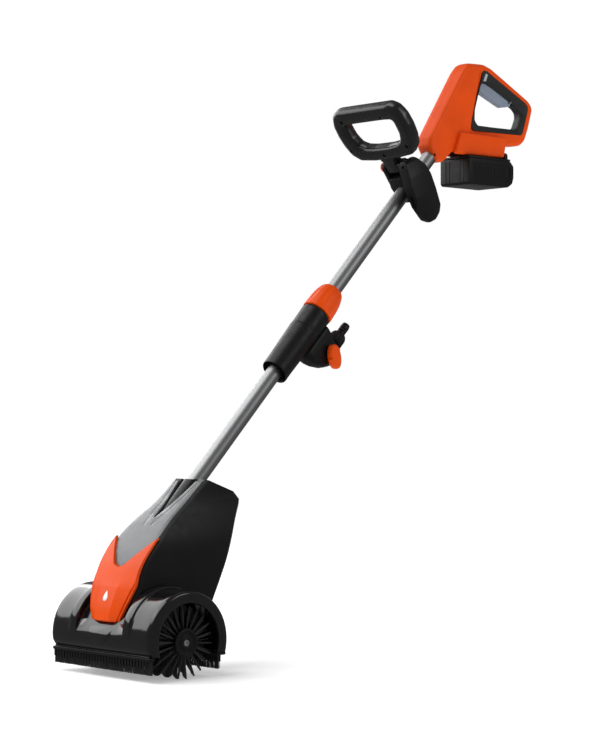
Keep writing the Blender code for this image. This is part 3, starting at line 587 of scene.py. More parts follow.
# Height, front, rear and half width of the tower at each level.
TOWER_LEVELS = np.array(
    [
        (40.0, -76.0, 92.0, 60.0), (58.0, -73.0, 98.0, 61.0), (84.0, -66.0, 108.0, 62.0),
        (114.0, -60.0, 121.0, 62.0), (150.0, -47.0, 138.0, 62.0), (190.0, -30.0, 156.0, 61.5),
        (228.0, 0.0, 169.0, 60.0), (256.0, 30.0, 181.0, 54.0), (285.0, 68.0, 196.0, 47.0),
        (332.0, 120.0, 212.0, 45.0),
    ]
)


def smooth(levels, z):
    """Values at a height, on a smooth curve through the levels."""
    levels = np.asarray(levels, dtype=float)
    heights = levels[:, 0]
    z = min(max(z, heights[0]), heights[-1])
    i = min(int(np.searchsorted(heights, z, side="right")) - 1, len(heights) - 2)
    slopes = np.gradient(levels[:, 1:], heights, axis=0)
    step = heights[i + 1] - heights[i]
    t = (z - heights[i]) / step
    a, b = levels[i, 1:], levels[i + 1, 1:]
    return (
        a * (2 * t**3 - 3 * t**2 + 1) + slopes[i] * step * (t**3 - 2 * t**2 + t)
        + b * (3 * t**2 - 2 * t**3) + slopes[i + 1] * step * (t**3 - t**2)
    )


def front_at(z):
    return float(smooth(TOWER_LEVELS, z)[0])


def tower_ring(z, wall=0.0):
    """Level section, drawn in by a wall's thickness, with small radii on its long edges."""
    front, rear, half = smooth(TOWER_LEVELS, z)
    front, rear, half = front + wall, rear - wall, half - wall
    right = [(0.0, front), (half - 6, front), (half, front + 6), (half, rear - 14), (half - 14, rear), (0.0, rear)]
    line = rounded(right + [(-x, y) for x, y in reversed(right[1:-1])], [0, 2, 2, 2.5, 2.5, 0, 2.5, 2.5, 2, 2], 3)
    return [(x, y, z) for x, y in line]


TOWER_WALL = 4.0
heights = np.linspace(52, 332, 29)
tower = solid("tower_shell", loft([tower_ring(z) for z in heights]))
TOP_CUT = rounded([(60, 340), (96, 325.5), (114, 325.5), (172, 304), (194, 280), (240, 240), (240, 400), (60, 400)],
                  [0, 0, 6, 4, 4, 0, 0, 0], 4)
ROOM_TOP = [(40, 330), (92, 320), (112, 321), (168, 300), (188, 280), (240, 240), (240, 400), (40, 400)]
room = solid("tower_room", loft([tower_ring(z, TOWER_WALL) for z in heights]))
cut(room, solid("room_top", prism(ROOM_TOP, -90, 90)))
NOTCH = [(-28, 340), (28, 340), (2, 264), (-2, 264)]
# Space of the hood, with its raised bands on both sides.
HOOD_SPACE = [(88.8, -100), (88.8, -61.7), (76.3, -61.4), (76.3, 61.4), (88.8, 61.7), (88.8, 100)]
cut(
    tower,
    solid("tower_top_cut", prism(TOP_CUT, -90, 90)),
    room,
    bore(18.3, -200, 60, POLE),
    solid("notch_room", prism(NOTCH, -60, 132, "y")),
    solid("hood_room", lathe(HOOD_SPACE, 96), HOOD_AXIS),
    solid("floor_room", block((-90, -100, -20), (90, 140, 54))),
)
round_edges(tower, 0.9, 2, 40)


def halves(obj, names, gap=0.15):
    """Splits an object at the machine's middle plane and returns the left and right pieces."""
    pieces = []
    for name, low, high in ((names[0], -200, -gap), (names[1], gap, 200)):
        piece = bpy.data.objects.new(name, obj.data.copy())
        scene.collection.objects.link(piece)
        combine(piece, [solid("half_space", block((low, -300, -100), (high, 1100, 1300)))], "INTERSECT")
        pieces.append(piece)
    bpy.data.objects.remove(obj)
    return pieces


for piece, side in zip(halves(tower, ("tower_shell_left", "tower_shell_right")), ("left", "right")):
    show(piece, "black_plastic", "brush_head", [f"tower_{side}"], 22)
SOCKET_LINE = [(18.0, -146), (18.0, -43), (17.4, -42), (BORE, -42), (BORE, -146)]
socket = cut(solid("socket_sleeve", sleeve(SOCKET_LINE, 80), POLE), solid("socket_top", prism(TOP_CUT, -90, 90)))
show(socket, "black_plastic", "brush_head", ["tube_socket"])

# Edge between the cover's swallow tail and the grey panel, in (x, z).
TAIL_LINE = [(-75, 250), (-57, 231), (-14, 186), (0, 181.5), (14, 186), (57, 231), (75, 250)]


def tail(shift, radius):
    outline = [(x, z + shift) for x, z in TAIL_LINE]
    return rounded(outline, radius, 6, closed=False)


# Height, half width, half width of the raised front, its thickness, and the rim left round it.
COVER_LEVELS = [
    (82.0, 26.0, 18.0, 2.6, 6.0), (82.4, 28.5, 18.0, 4.4, 6.0), (83.4, 30.0, 18.0, 5.4, 6.0),
    (85.2, 31.5, 18.0, 5.6, 6.0), (86.4, 32.4, 18.0, 4.6, 6.0), (91.0, 35.6, 18.5, 4.4, 6.2),
    (92.2, 36.5, 19.0, 6.5, 6.3), (93.6, 37.5, 19.2, 11.8, 6.3), (95.0, 38.3, 19.4, 13.2, 6.3),
    (99.0, 39.8, 19.7, 13.6, 6.3), (114.0, 47.0, 20.6, 14.0, 6.4), (132.0, 53.4, 21.4, 13.8, 6.4),
    (146.0, 57.2, 22.2, 13.6, 6.2), (150.0, 58.2, 22.4, 13.5, 5.6), (151.5, 58.4, 22.8, 13.1, 5.0),
    (154.0, 58.6, 23.8, 12.5, 4.0), (158.0, 58.2, 25.4, 11.6, 2.2), (162.0, 57.2, 27.0, 10.8, 0.8),
    (170.0, 56.2, 30.2, 9.6, 0.6), (190.0, 56.4, 38.2, 7.6, 0.6), (212.0, 57.2, 47.0, 6.0, 0.6),
    (232.0, 56.6, 54.4, 4.6, 0.6), (244.0, 54.0, 52.0, 4.4, 0.6),
]


COVER_GAP = 1.6
RIM_THICKNESS = 4.4
RIM_LIP = 0.9


def cover_ring(level):
    """Level section: raised front, sloping sides, and a rim with a small lip where it is wide enough."""
    z, half, front_half, raised, rim = level
    y = front_at(z) - COVER_GAP
    flat = min(raised, RIM_THICKNESS)
    wall = half - rim
    lip = (half - 2.4, half - 1.6, half - 0.6) if rim > 2 else (wall + 0.1, wall + 0.2, wall + 0.3)
    right = [
        (front_half * 0.5, y - raised - 0.35), (front_half, y - raised),
        (wall - 0.2, y - flat - 0.3 * (raised - flat)), (wall, y - flat), (lip[0], y - flat),
        (lip[1], y - flat - RIM_LIP), (lip[2], y - flat - RIM_LIP), (half - 0.05, y - flat * 0.75),
        (half, y - 0.3), (half - 1.4, y),
    ]
    ring = [(x, b, z) for x, b in right]
    return [(0.0, y - raised - 0.4, z)] + ring + [(-x, b, z) for x, b, z in reversed(ring)]


# Extra levels between the given ones follow the tower's curve.
fine_levels = []
for below, above in zip(COVER_LEVELS, COVER_LEVELS[1:]):
    count = max(1, int((above[0] - below[0]) / 3.0))
    for k in range(count):
        t = k / count
        fine_levels.append(tuple(a + (b - a) * t for a, b in zip(below, above)))
fine_levels.append(COVER_LEVELS[-1])
cover = solid("cover_orange", loft([cover_ring(level) for level in fine_levels]))
cut(
    cover,
    solid("above_tail", prism(tail(-0.3, 9) + [(60, 300), (-60, 300)], -140, 120, "y")),
    solid("hood_room", lathe([(76.3, -62), (76.3, 62)], 96), HOOD_AXIS),
)
round_edges(cover, 0.6, 2, 30)
show(cover, "orange_plastic", "brush_head", ["orange_cover"], 9)

# Height and half width of the grey panel.
PANEL_LEVELS = [
    (172, 31), (178, 36), (190, 43.5), (215, 51), (230, 53), (256, 47.5), (285, 40.3), (300, 38.6),
    (322, 38.5),
]


def panel_ring(z):
    half = float(smooth(PANEL_LEVELS, z)[0])
    y = front_at(z)
    right = [(half * 0.35, y - 4.2), (half * 0.62, y - 3.9), (half * 0.80, y - 3.3), (half - 1.0, y - 2.2),
             (half, y - 1.2), (half, y - 0.3)]
    ring = [(x, b, z) for x, b in right]
    return [(0.0, y - 4.3, z)] + ring + [(-x, b, z) for x, b, z in reversed(ring)]


panel = solid("panel_grey", loft([panel_ring(z) for z in np.linspace(176, 322, 42)]))
below_tail = tail(0.3, 9) + [(60, 150), (-60, 150)]
# The creases reach this deep behind the panel's front line, and run beside the notch.
CREASE_DEPTH = 2.6
SKIN_CORNERS = ((-50, CREASE_DEPTH), (50, CREASE_DEPTH), (50, 20), (-50, 20))
creases = []
for side in (-1, 1):
    line = [(side * 31.6, 324), (side * 33.0, 324), (side * 11.2, 250), (side * 10.6, 250)]
    crease = solid("crease", prism(line, -60, 160, "y"))
    skin_rings = [[(x, front_at(z) - d, z) for x, d in SKIN_CORNERS] for z in np.linspace(240, 330, 24)]
    creases.append(combine(crease, [solid("panel_skin", loft(skin_rings))], "INTERSECT"))
PANEL_NOTCH = rounded([(-30, 340), (30, 340), (2, 262), (-2, 262)], [0, 0, 2, 2], 3)
cut(
    panel,
    solid("panel_notch", prism(PANEL_NOTCH, -60, 160, "y")),
    solid("below_tail", prism(below_tail, -120, 120, "y")),
    *creases,
)
round_edges(panel, 0.8, 2, 30)
show(panel, "grey_panel", "brush_head", ["front_panel"], 30)

# Badge: a plain drop, pointed at the top.
DROP_RADIUS, DROP_TOP, DROP_MIDDLE, DROP_THICKNESS = 5.9, 10.6, -2.4, 1.8
BADGE_Z = 134
droplet = [(0.0, DROP_TOP)]
for a in np.linspace(0.42, -math.pi - 0.42, 30):
    droplet.append((DROP_RADIUS * math.cos(a), DROP_MIDDLE + DROP_RADIUS * math.sin(a)))
slope = math.atan2(front_at(BADGE_Z + 6) - front_at(BADGE_Z - 6), 12.0)
badge_y = front_at(BADGE_Z) - COVER_GAP - 14.2
badge_place = Matrix.Translation((0, badge_y, BADGE_Z)) @ Matrix.Rotation(-slope, 4, "X")
drop_shape = prism(rounded(droplet, 0.8, 3), -DROP_THICKNESS / 2, DROP_THICKNESS / 2, "y")
show(solid("badge_drop", drop_shape, badge_place, 0.4, 2), "badge_white", "brush_head", ["badge"])

# -------- hood


def hood_arch(x, front, rest, inner, bottom=42.0, segments=72):
    """Arch at one station: the outer arc from the front bottom to the rear bottom, then the inner arc back.

    front is the outer radius at the front edge, which curls inwards, and rest is the radius over the top."""
    points = []
    drop = math.asin((HOOD_Z - bottom) / rest)
    for a in np.linspace(math.pi + math.asin((HOOD_Z - bottom) / front), -drop, segments + 1):
        above = math.degrees(math.pi - a)
        blend = min(1.0, max(0.0, (above - 2.0) / 26.0))
        radius = front + (rest - front) * blend * blend * (3 - 2 * blend)
        curl = min(1.0, max(0.0, (-4.0 - above) / 10.0))
        radius -= 5.0 * curl * curl
        points.append((x, radius * math.cos(a), HOOD_Z + radius * math.sin(a)))
    drop = math.asin((HOOD_Z - bottom) / inner)
    for a in np.linspace(-drop, math.pi + drop, segments + 1):
        points.append((x, inner * math.cos(a), HOOD_Z + inner * math.sin(a)))
    return points


HALF_HOOD = [
    # (x, outer radius at the front edge, outer radius elsewhere, inner radius)
    (136.0, 78.6, 78.6, 64.6), (135.8, 79.6, 79.6, 64.0), (135.2, 80.8, 80.8, 64.0), (134.0, 82.0, 82.0, 64.0),
    (132.0, 83.1, 83.1, 64.0), (130.4, 83.7, 83.7, 64.0), (130.0, 83.8, 83.8, 79.0), (124.0, 84.2, 84.2, 79.0),
    (110.0, 84.5, 84.5, 79.0), (88.0, 84.7, 84.7, 79.0), (84.6, 84.8, 85.0, 79.0), (83.4, 84.8, 86.0, 79.0),
    (82.2, 84.8, 87.6, 79.0), (80.8, 84.8, 88.4, 79.0), (79.0, 84.8, 88.6, 79.0), (66.0, 84.8, 88.6, 79.0),
    (64.8, 84.8, 88.2, 79.0), (64.0, 84.8, 87.0, 79.0), (63.7, 84.8, 84.0, 78.0), (63.3, 84.8, 77.0, 71.0),
    (62.6, 84.8, 76.2, 71.0), (40.0, 84.8, 76.0, 71.0), (20.0, 84.8, 76.0, 71.0),
]
stations = [(-x, *radii) for x, *radii in HALF_HOOD] + list(reversed(HALF_HOOD))
hood = solid("hood_gloss", loft([hood_arch(*station) for station in stations]))
cut(hood, solid("gear_room", block((-23, -23, 40), (23, 23, 130)), MOTOR))
show(hood, "black_gloss_plastic", "brush_head", ["hood_shell"], 40)


# Tongue: a plate that runs from under the cover down to the hood's lip. Its outline is in (x, degrees above
# the hood's axis).
TONGUE_CORNERS = [(34, 20), (31, 8), (18, -4), (-18, -4), (-31, 8), (-34, 20)]
TONGUE_THICKNESS, TONGUE_EDGE, TONGUE_RINGS = 3.6, 1.4, 9


def tongue_radius(degrees):
    t = min(1.0, max(0.0, (20.0 - degrees) / 16.0))
    return 74.5 + 8.3 * t * t * (3 - 2 * t)


def tongue_ring(outline, share, lift):
    """The outline shrunk to a share of its size, at a height above the tongue's base."""
    middle = sum(degrees for _, degrees in outline) / len(outline)
    ring = []
    for x, degrees in outline:
        a = math.radians(middle + (degrees - middle) * share)
        reach = tongue_radius(math.degrees(a)) + lift
        ring.append((x * share, -reach * math.cos(a), HOOD_Z + reach * math.sin(a)))
    return ring


corners = rounded(TONGUE_CORNERS, [2, 10, 12, 12, 10, 2], 8)
tongue_line = []
for start, end in zip(corners, corners[1:] + corners[:1]):
    pieces = max(1, int((Vector(end) - Vector(start)).length / 2.5))
    tongue_line += [tuple(Vector(start).lerp(Vector(end), k / pieces)) for k in range(pieces)]
levels = [(1.0, 0.0), (1.0, TONGUE_THICKNESS - TONGUE_EDGE), (0.97, TONGUE_THICKNESS - 0.3 * TONGUE_EDGE),
          (0.92, TONGUE_THICKNESS)]
for k in range(1, TONGUE_RINGS + 1):
    levels.append((0.92 * (1 - k / (TONGUE_RINGS + 1)), TONGUE_THICKNESS + 0.1 * k))
tongue = solid("hood_tongue", loft([tongue_ring(tongue_line, share, lift) for share, lift in levels]))
show(tongue, "black_gloss_plastic", "brush_head")

# Thin bead along the hood's front edge.
BEAD_RADIUS = 1.3
BEAD_Y = -80.6 * math.cos(math.radians(13.6))
BEAD_Z = HOOD_Z - 80.6 * math.sin(math.radians(14.6))
bead_path = [(x, BEAD_Y, BEAD_Z) for x in np.linspace(-129, 129, 40)]
show(solid("hood_front_bead", pipe(bead_path, BEAD_RADIUS, 10)), "black_gloss_plastic", "brush_head")

# -------- strip brushes

STRIP_HALF = 133.5
STRIP_TOP, STRIP_TIP = 36.6, 13.0
TUFT_COUNT = 34
TUFT_PLACES = [-STRIP_HALF + 2 * STRIP_HALF / TUFT_COUNT * (i + 0.5) for i in range(TUFT_COUNT)]
TUFT_STRANDS = 36
STRAND_RADIUS = 0.42


def strand(root, tip, radius, bend):
    """Thin tapering filament from root to tip, with a slight bend in the middle."""
    root, tip, bend = Vector(root), Vector(tip), Vector(bend)
    ahead = (tip - root).normalized()
    side = ahead.orthogonal().normalized()
    other = ahead.cross(side)
    rings = []
    for t in (0.0, 0.5, 1.0):
        centre = root.lerp(tip, t) + bend * 4 * t * (1 - t)
        rings.append([centre + side * x + other * y for x, y in circle(radius * (1 - 0.25 * t), 4)])
    return loft(rings)


def strip_tufts(y):
    strands = []
    for x in TUFT_PLACES:
        for k in range(TUFT_STRANDS):
            a, r = random.uniform(0, 2 * math.pi), math.sqrt(random.random())
            root = (x + 2.5 * r * math.cos(a), y + 2.2 * r * math.sin(a), STRIP_TOP)
            spread_x = max(-STRIP_HALF + 0.4, min(STRIP_HALF - 0.4, x + 4.3 * r * math.cos(a)))
            tip = (spread_x, y + 3.1 * r * math.sin(a), STRIP_TIP + random.uniform(0.0, 1.3))
            bend = (random.uniform(-0.4, 0.4), random.uniform(-0.4, 0.4), 0)
            strands.append(strand(root, tip, STRAND_RADIUS, bend))
    return joined(*strands)


def strip_fingers(y):
    """Flat comb fingers behind and in front of the tufts keep them upright."""
    fingers = []
    for x in TUFT_PLACES:
        outline = [(x - 2.5, STRIP_TOP), (x + 2.5, STRIP_TOP), (x + 2.2, 25), (x - 2.2, 25)]
        for side in (-1, 1):
            low, high = sorted((y + side * 2.5, y + side * 3.6))
            fingers.append(prism(rounded(outline, 1.0, 2), low, high, "y"))
    return joined(*fingers)


for end, y, low, high in (("front", -76.0, -81.5, -70.5), ("rear", 67.0, 62.0, 80.5)):
    tufts = solid(f"{end}_strip_tufts", strip_tufts(y))
    show(tufts, "bristle", "brush_head", [f"{end}_strip_bristles"], 60)
    section = [(low, 36.2), (high, 36.2), (high, 41.6), (low, 41.6)]
    holder = solid(f"{end}_strip_channel", prism(section, -STRIP_HALF, STRIP_HALF), None, 0.9)
    show(holder, "black_plastic", "brush_head", [f"{end}_strip_holder"])
    show(solid(f"{end}_strip_fingers", strip_fingers(y)), "black_plastic", "brush_head")

# -------- roller

BRUSH_RADIUS = 60.9
TUFTS_AROUND = 22
ROWS = 11
ROLLER_STRANDS = 15
# Radius and height of the end cap, outwards from the roller's middle.
HUB_CAP = [
    (23.6, 126.3), (23.8, 127.0), (23.8, 128.6), (23.3, 129.2), (22.4, 129.6), (19.6, 129.6), (18.6, 129.2),
    (18.0, 128.0), (16.8, 127.6), (12.4, 127.4), (11.6, 127.8), (11.0, 129.0), (10.2, 129.5), (6.6, 129.5),
    (6.0, 129.1), (5.8, 127.2),
]
HUB_BOLT = [(5.6, 127.0), (5.6, 129.0), (5.0, 129.6)]
HUB_HOLES, HUB_HOLE_CIRCLE = 6, 14.7


def roller_tufts(low, high):
    """Rows of strands from the core out to the brush's edge, staggered from row to row."""
    strands = []
    for row in range(ROWS):
        x = low + (high - low) * (row + 0.5) / ROWS
        for k in range(TUFTS_AROUND):
            angle = 2 * math.pi * (k + 0.5 * (row % 2)) / TUFTS_AROUND + 0.05 * row
            for n in range(ROLLER_STRANDS):
                a, r = random.uniform(0, 2 * math.pi), math.sqrt(random.random())
                along, across = 1.9 * r * math.cos(a), 1.35 * r * math.sin(a)
                ends = []
                for radius, spread in ((20.6, 1.0), (BRUSH_RADIUS - random.uniform(0.3, 1.6), 1.2)):
                    tilt = angle + across * spread / max(radius, 30)
                    px = min(high - 0.3, max(low + 0.3, x + along * spread))
                    ends.append(Vector((px, radius * math.cos(tilt), ROLLER_Z + radius * math.sin(tilt))))
                bend = Vector((random.uniform(-0.7, 0.7), random.uniform(-0.5, 0.5), random.uniform(-0.5, 0.5)))
                strands.append(strand(ends[0], ends[1], 0.55, bend))
    return joined(*strands)


for side, name in ((-1, "left"), (1, "right")):
    low, high = sorted((side * 24.0, side * 126.0))
    tufts = solid(f"roller_tufts_{name}", roller_tufts(low, high))
    show(tufts, "bristle", "roller", [f"brush_bristles_{name}"], 60)
    core = rounded([(5.4, low), (21, low), (21, high), (5.4, high)], 1.2, 3)
    show(solid(f"roller_core_{name}", sleeve(core, 80), ROLLER), "black_plastic", "roller", [f"brush_core_{name}"])
    cap = solid(f"hub_cap_{name}", lathe([(r, side * h) for r, h in HUB_CAP], 96), ROLLER)
    holes = []
    for x, y in circle(HUB_HOLE_CIRCLE, HUB_HOLES):
        place = ROLLER @ Matrix.Translation((x, y, side * 128))
        holes.append(bore(1.5, *sorted((side * -0.9, side * 4)), place, 20))
    cut(cap, *holes)
    show(cap, "black_plastic", "roller", [f"end_cap_{name}"])
    bolt = solid(f"hub_bolt_{name}", lathe([(r, side * h) for r, h in HUB_BOLT], 48), ROLLER)
    cut(bolt, bore(3.4, *sorted((side * 128.0, side * 133.0)), ROLLER, 6))
    show(bolt, "steel", "roller")

# -------- rear handle

BODY = [
    (688, 948), (689, 966), (697, 978), (778, 1100), (794, 1117), (832, 1120), (822, 1070), (806, 1005),
    (800, 968), (780, 968), (760, 947), (724, 919), (706, 921),
]
LOOP_OUTER = [
    (780, 1060), (796, 1119), (842, 1121), (864, 1115), (972, 1062), (983, 1052), (985, 1043), (973, 1005),
    (962, 980), (948, 969), (900, 965.5), (780, 965.5),
]
FOOT = [(748, 938), (885, 939.5), (891, 967), (891, 980), (765, 980)]
HOLE = [
    (803, 991), (803, 1007), (820, 1060), (836, 1104), (843, 1109), (851, 1108), (962, 1056), (969, 1050),
    (970, 1041), (955, 996), (949, 990), (812, 987),
]
HOLE_INNER = [
    (820, 1010), (820, 1034), (835, 1076), (842, 1084), (852, 1084), (944, 1044), (954, 1036), (955, 1026),
    (946, 1006), (938, 1001), (830, 1000),
]
TRIGGER_PIN = (922.0, 1053.0)


def inset(outline, amount):
    """The outline moved inwards by an amount, corner by corner."""
    area = sum(a[0] * b[1] - b[0] * a[1] for a, b in zip(outline, outline[1:] + outline[:1]))
    turn = 1 if area > 0 else -1
    shifted = []
    for i, point in enumerate(outline):
        before = (Vector(point) - Vector(outline[i - 1])).normalized()
        after = (Vector(outline[(i + 1) % len(outline)]) - Vector(point)).normalized()
        inward = Vector((-(before + after).y, (before + after).x)).normalized() * turn
        slope = max(0.4, abs(inward.dot(Vector((-after.y, after.x)))))
        shifted.append(tuple(Vector(point) + inward * amount / slope))
    return shifted


def blended(obj, voxel, rounds):
    """One soft skin over joined pieces: the mesh is rebuilt from small cells, then smoothed."""
    step = obj.modifiers.new("skin", "REMESH")
    step.mode = "VOXEL"
    step.voxel_size = voxel / 1000
    bake(obj)
    step = obj.modifiers.new("soften", "SMOOTH")
    step.factor = 0.5
    step.iterations = rounds
    return bake(obj)


def soft_prism(outline, low, high, edge, radii, steps=6):
    """Prism in (y, z) along X with widely rounded rims: the outline shrinks towards both ends."""
    rings = []
    turns = [math.pi / 2 * k / steps for k in range(steps + 1)]
    for end, sign, order in ((low, 1, turns), (high, -1, list(reversed(turns)))):
        for a in order:
            ring = rounded(inset(outline, edge * (1 - math.sin(a))), radii, 6)
            rings.append([(end + sign * edge * (1 - math.cos(a)), y, z) for y, z in ring])
    return loft(rings)


BODY_RADII = [6, 6, 10, 16, 14] + [8] * 8
GRIP_RADII = [4, 6, 14, 16, 10, 8, 8, 14, 12, 14, 4, 4]
body_shape = soft_prism(BODY, -19.9, 19.9, 7.0, BODY_RADII, 8)
grip_shape = soft_prism(LOOP_OUTER, -15.4, 15.4, 4.5, GRIP_RADII)
handle = solid("handle_shell", joined(body_shape, grip_shape))
blended(handle, 1.8, 22)
foot = solid("foot", soft_prism(FOOT, -29.6, 29.6, 3.5, [8, 5, 5, 3, 3]))
cut(foot, solid("foot_room", prism(rounded(HOLE, 5, 5), -50, 50)))
add(handle, foot)
cut(
    handle,
    solid("hole_room", prism(rounded(HOLE, 5, 5), -50, 50)),
    solid("battery_room", block((-18.4, 700, 930), (18.4, 900, 946.4))),
    bore(BORE, 740, 872, POLE),
)
for piece, side in zip(halves(handle, ("handle_shell_left", "handle_shell_right")), ("left", "right")):
    show(piece, "orange_plastic", "pole_handle", [f"handle_{side}"], 34)


def ray_point(outline, angle, centre):
    """Point where a ray from the centre meets an outline."""
    ray = Vector((math.cos(angle), math.sin(angle)))
    for i, point in enumerate(outline):
        start = Vector(outline[i - 1]) - centre
        edge = Vector(point) - centre - start
        across = ray.cross(edge)
        if abs(across) < 1e-9:
            continue
        share = start.cross(ray) / across
        distance = start.cross(edge) / across
        if -1e-9 <= share <= 1 and distance > 0:
            return centre + ray * distance
    raise ValueError("the centre is outside the outline")


def radial_rings(inside, outside, centre, section, count):
    """Rings round a frame. A section point is (0 at the inside to 1 at the outside, third coordinate)."""
    rings = []
    for i in range(count):
        angle = 2 * math.pi * (i + 0.5) / count
        near, far = ray_point(inside, angle, centre), ray_point(outside, angle, centre)
        rings.append([(*(near + (far - near) * t), side) for t, side in section])
    return rings


# Rubber liner of the grip hole, with a wide chamfer towards each side.
HOLE_MIDDLE = Vector((884, 1040))
LINER_HALF = [
    (0.0, 4.0), (0.0, 7.5), (0.10, 9.5), (0.55, 12.8), (0.80, 14.6), (0.90, 15.4), (0.97, 15.4), (1.0, 15.0),
]
section = LINER_HALF + [(t, -x) for t, x in reversed(LINER_HALF)]
rings = radial_rings(rounded(HOLE_INNER, 7, 6), rounded(inset(HOLE, 0.3), 5, 6), HOLE_MIDDLE, section, 160)
rounds = []
for i, ring in enumerate(rings):
    # The liner stands out further beside the handle's body, to come level with it.
    forwards = -math.cos(2 * math.pi * (i + 0.5) / len(rings))
    share = min(1.0, max(0.0, (forwards - 0.35) / 0.4))
    swell = 1 + 0.28 * share * share * (3 - 2 * share)
    rounds.append([(x * swell, y, z) for y, z, x in ring])
liner = solid("liner_rubber", loft(rounds, closed=True))
TRIGGER_SLOT = [(829, 1066), (836, 1098), (846, 1101), (936, 1062), (937, 1040), (905, 1036)]
LOCK_OFF = [(839, 1089), (845, 1087), (851, 1101), (845, 1103)]
cut(
    liner,
    solid("slot_room", prism(rounded(TRIGGER_SLOT, 2, 3), -8.4, 8.4)),
    solid("button_room", prism(inset(LOCK_OFF, -0.4), 7.7, 40)),
)
show(liner, "rubber", "pole_handle", ["grip_liner"], 30)

TRIGGER = [(846, 1088), (929, 1056), (925, 1046), (905, 1043), (896, 1046), (838, 1068), (838, 1078)]
trigger = solid("trigger_bar", prism(rounded(TRIGGER, [3, 3, 3, 5, 8, 3, 3], 4), -7.6, 7.6), None, 1.8, 3)
cut(trigger, solid("pin_room", prism(circle(2.4, 24, TRIGGER_PIN), -40, 40)))
show(trigger, "grey_trigger", "trigger", ["trigger"], 30)
lock_off = solid("lock_off_cap", prism(rounded(LOCK_OFF, 1.6, 3), 10, 17.5), None, 0.9, 3)
show(lock_off, "lock_grey", "lock_off", ["lock_off_button"], 30)

# -------- battery

CASE_SIDE = [(775, 884), (779, 880), (884, 880), (897, 888), (901, 900), (901, 922), (892, 931), (775, 931)]
case = solid("battery_shell", prism(rounded(CASE_SIDE, [3, 3, 6, 8, 8, 6, 4, 2], 4), -39, 39), None, 2.2, 3)
details = [solid("case_room", block((-35.5, 778.5, 884), (35.5, 893, 940)))]
for side in (-1, 1):
    low, high = sorted((side * 38.1, side * 42))
    panel_line = rounded([(787, 889), (880, 889), (890, 897), (891, 916), (884, 922), (787, 922)], 3, 4)
    details.append(solid("side_recess", prism(panel_line, low, high)))
for x in (-24.0, -14.0, 14.0, 24.0):
    details.append(solid("front_groove", block((x - 0.7, 770, 884), (x + 0.7, 775.9, 926))))
cut(case, *details)
show(case, "black_plastic", "battery", ["battery_case"], 30)
for across, name in ((-38.3, "left"), (38.3, "right")):
    ribs = [block((across - 0.25, 793 + 9 * k, 894), (across + 0.25, 795.4 + 9 * k, 917)) for k in range(10)]
    show(solid(f"battery_ribs_{name}", joined(*ribs), None, 0.2, 1), "black_plastic", "battery")
LID_SIDE = [(775, 931.3), (891.5, 931.3), (891.5, 935.5), (775, 935.5)]
lid = solid("battery_top", prism(rounded(LID_SIDE, 1.0, 3), -39, 39), None, 0.8, 2)
BUMP = [(886, 931.3), (886, 935), (892.5, 937), (892.5, 951), (900, 947), (901, 931.3)]
add(
    lid,
    solid("rail", block((-18, 780, 933), (18, 891.5, 945.8)), None, 0.8, 2),
    solid("bump", prism(rounded(BUMP, [0, 0, 1, 2, 2, 0], 3), -24, 24), None, 1.0, 2),
)
cut(lid, solid("latch_room", block((-11.4, 895.6, 936.4), (11.4, 910, 944.9))))
show(lid, "black_plastic", "battery", ["battery_lid"], 30)
latch = solid("latch_tab", block((-11, 898, 936.8), (11, 903, 944.5)), None, 0.8, 2)
grip_lines = [solid("line", block((-9, 902.5, z - 0.5), (9, 905, z + 0.5))) for z in (938.8, 940.6, 942.4)]
cut(latch, *grip_lines)
show(latch, "lock_grey", "battery_latch", ["battery_latch"], 30)

# -------- auxiliary handle

LOOP_OUTSIDE = [(70, 139.5), (85, 131), (93, 110), (94.5, 88), (91.5, 64), (84, 43), (68, 29), (30, 25)]
LOOP_INSIDE = [(60, 108), (64, 101), (63, 78), (56, 62), (42, 55.5), (20, 53)]


def mirrored(half_line):
    return half_line + [(-x, z) for x, z in reversed(half_line)]


loop_outside = rounded(mirrored(LOOP_OUTSIDE), 12, 6)
loop_inside = rounded(mirrored(LOOP_INSIDE), 9, 6)
LOOP_SEAM = -3.0
SCREWS = [(-62, 118), (42.5, 115.5), (-75.7, 55), (3.4, 37.7), (70.5, 50.6)]
NECK = [(-12, -4), (12, -4), (14, 0), (14, 20), (24, 36), (-24, 36), (-14, 20), (-14, 0)]
BOLT_ROOM = 3.4


def screw_place(x, y, z):
    """Place of a screw in the loop, looking out of the front shell."""
    return LOOP @ Matrix.Translation((x, y, z)) @ Matrix.Rotation(math.radians(90), 4, "X")


for name, node, flat, full, neck_full in (
    ("loop_shell_front", "loop_front", LOOP_SEAM - 0.15, -18.0, -13.5),
    ("loop_shell_rear", "loop_rear", LOOP_SEAM + 0.15, 12.0, 8.5),
):
    section = []
    for k in range(25):
        a = math.pi * k / 24
        c, s = math.cos(a), math.sin(a)
        share = 0.5 - 0.5 * math.copysign(abs(c) ** (2 / 2.7), c)
        section.append((share, flat + (full - flat) * abs(s) ** (2 / 3.0)))
    rings = radial_rings(loop_inside, loop_outside, Vector((0, 82)), section, 144)
    shell = solid(name, loft([[(x, y, z) for x, z, y in ring] for ring in rings], closed=True), LOOP)
    neck = prism(rounded(NECK, [3, 3, 2, 6, 8, 8, 6, 2], 5), *sorted((flat, neck_full)), "y")
    add(shell, solid("neck", neck, LOOP, 1.2, 2, 50))
    rooms = [bore(BOLT_ROOM, -60, 60, PIVOT, 32)]
    if full < 0:
        rooms += [bore(3.6, 0, 12, screw_place(x, full + 5.0, z), 28) for x, z in SCREWS]
    cut(shell, *rooms)
    show(shell, "loop_black", "aux_loop", [node], 34)
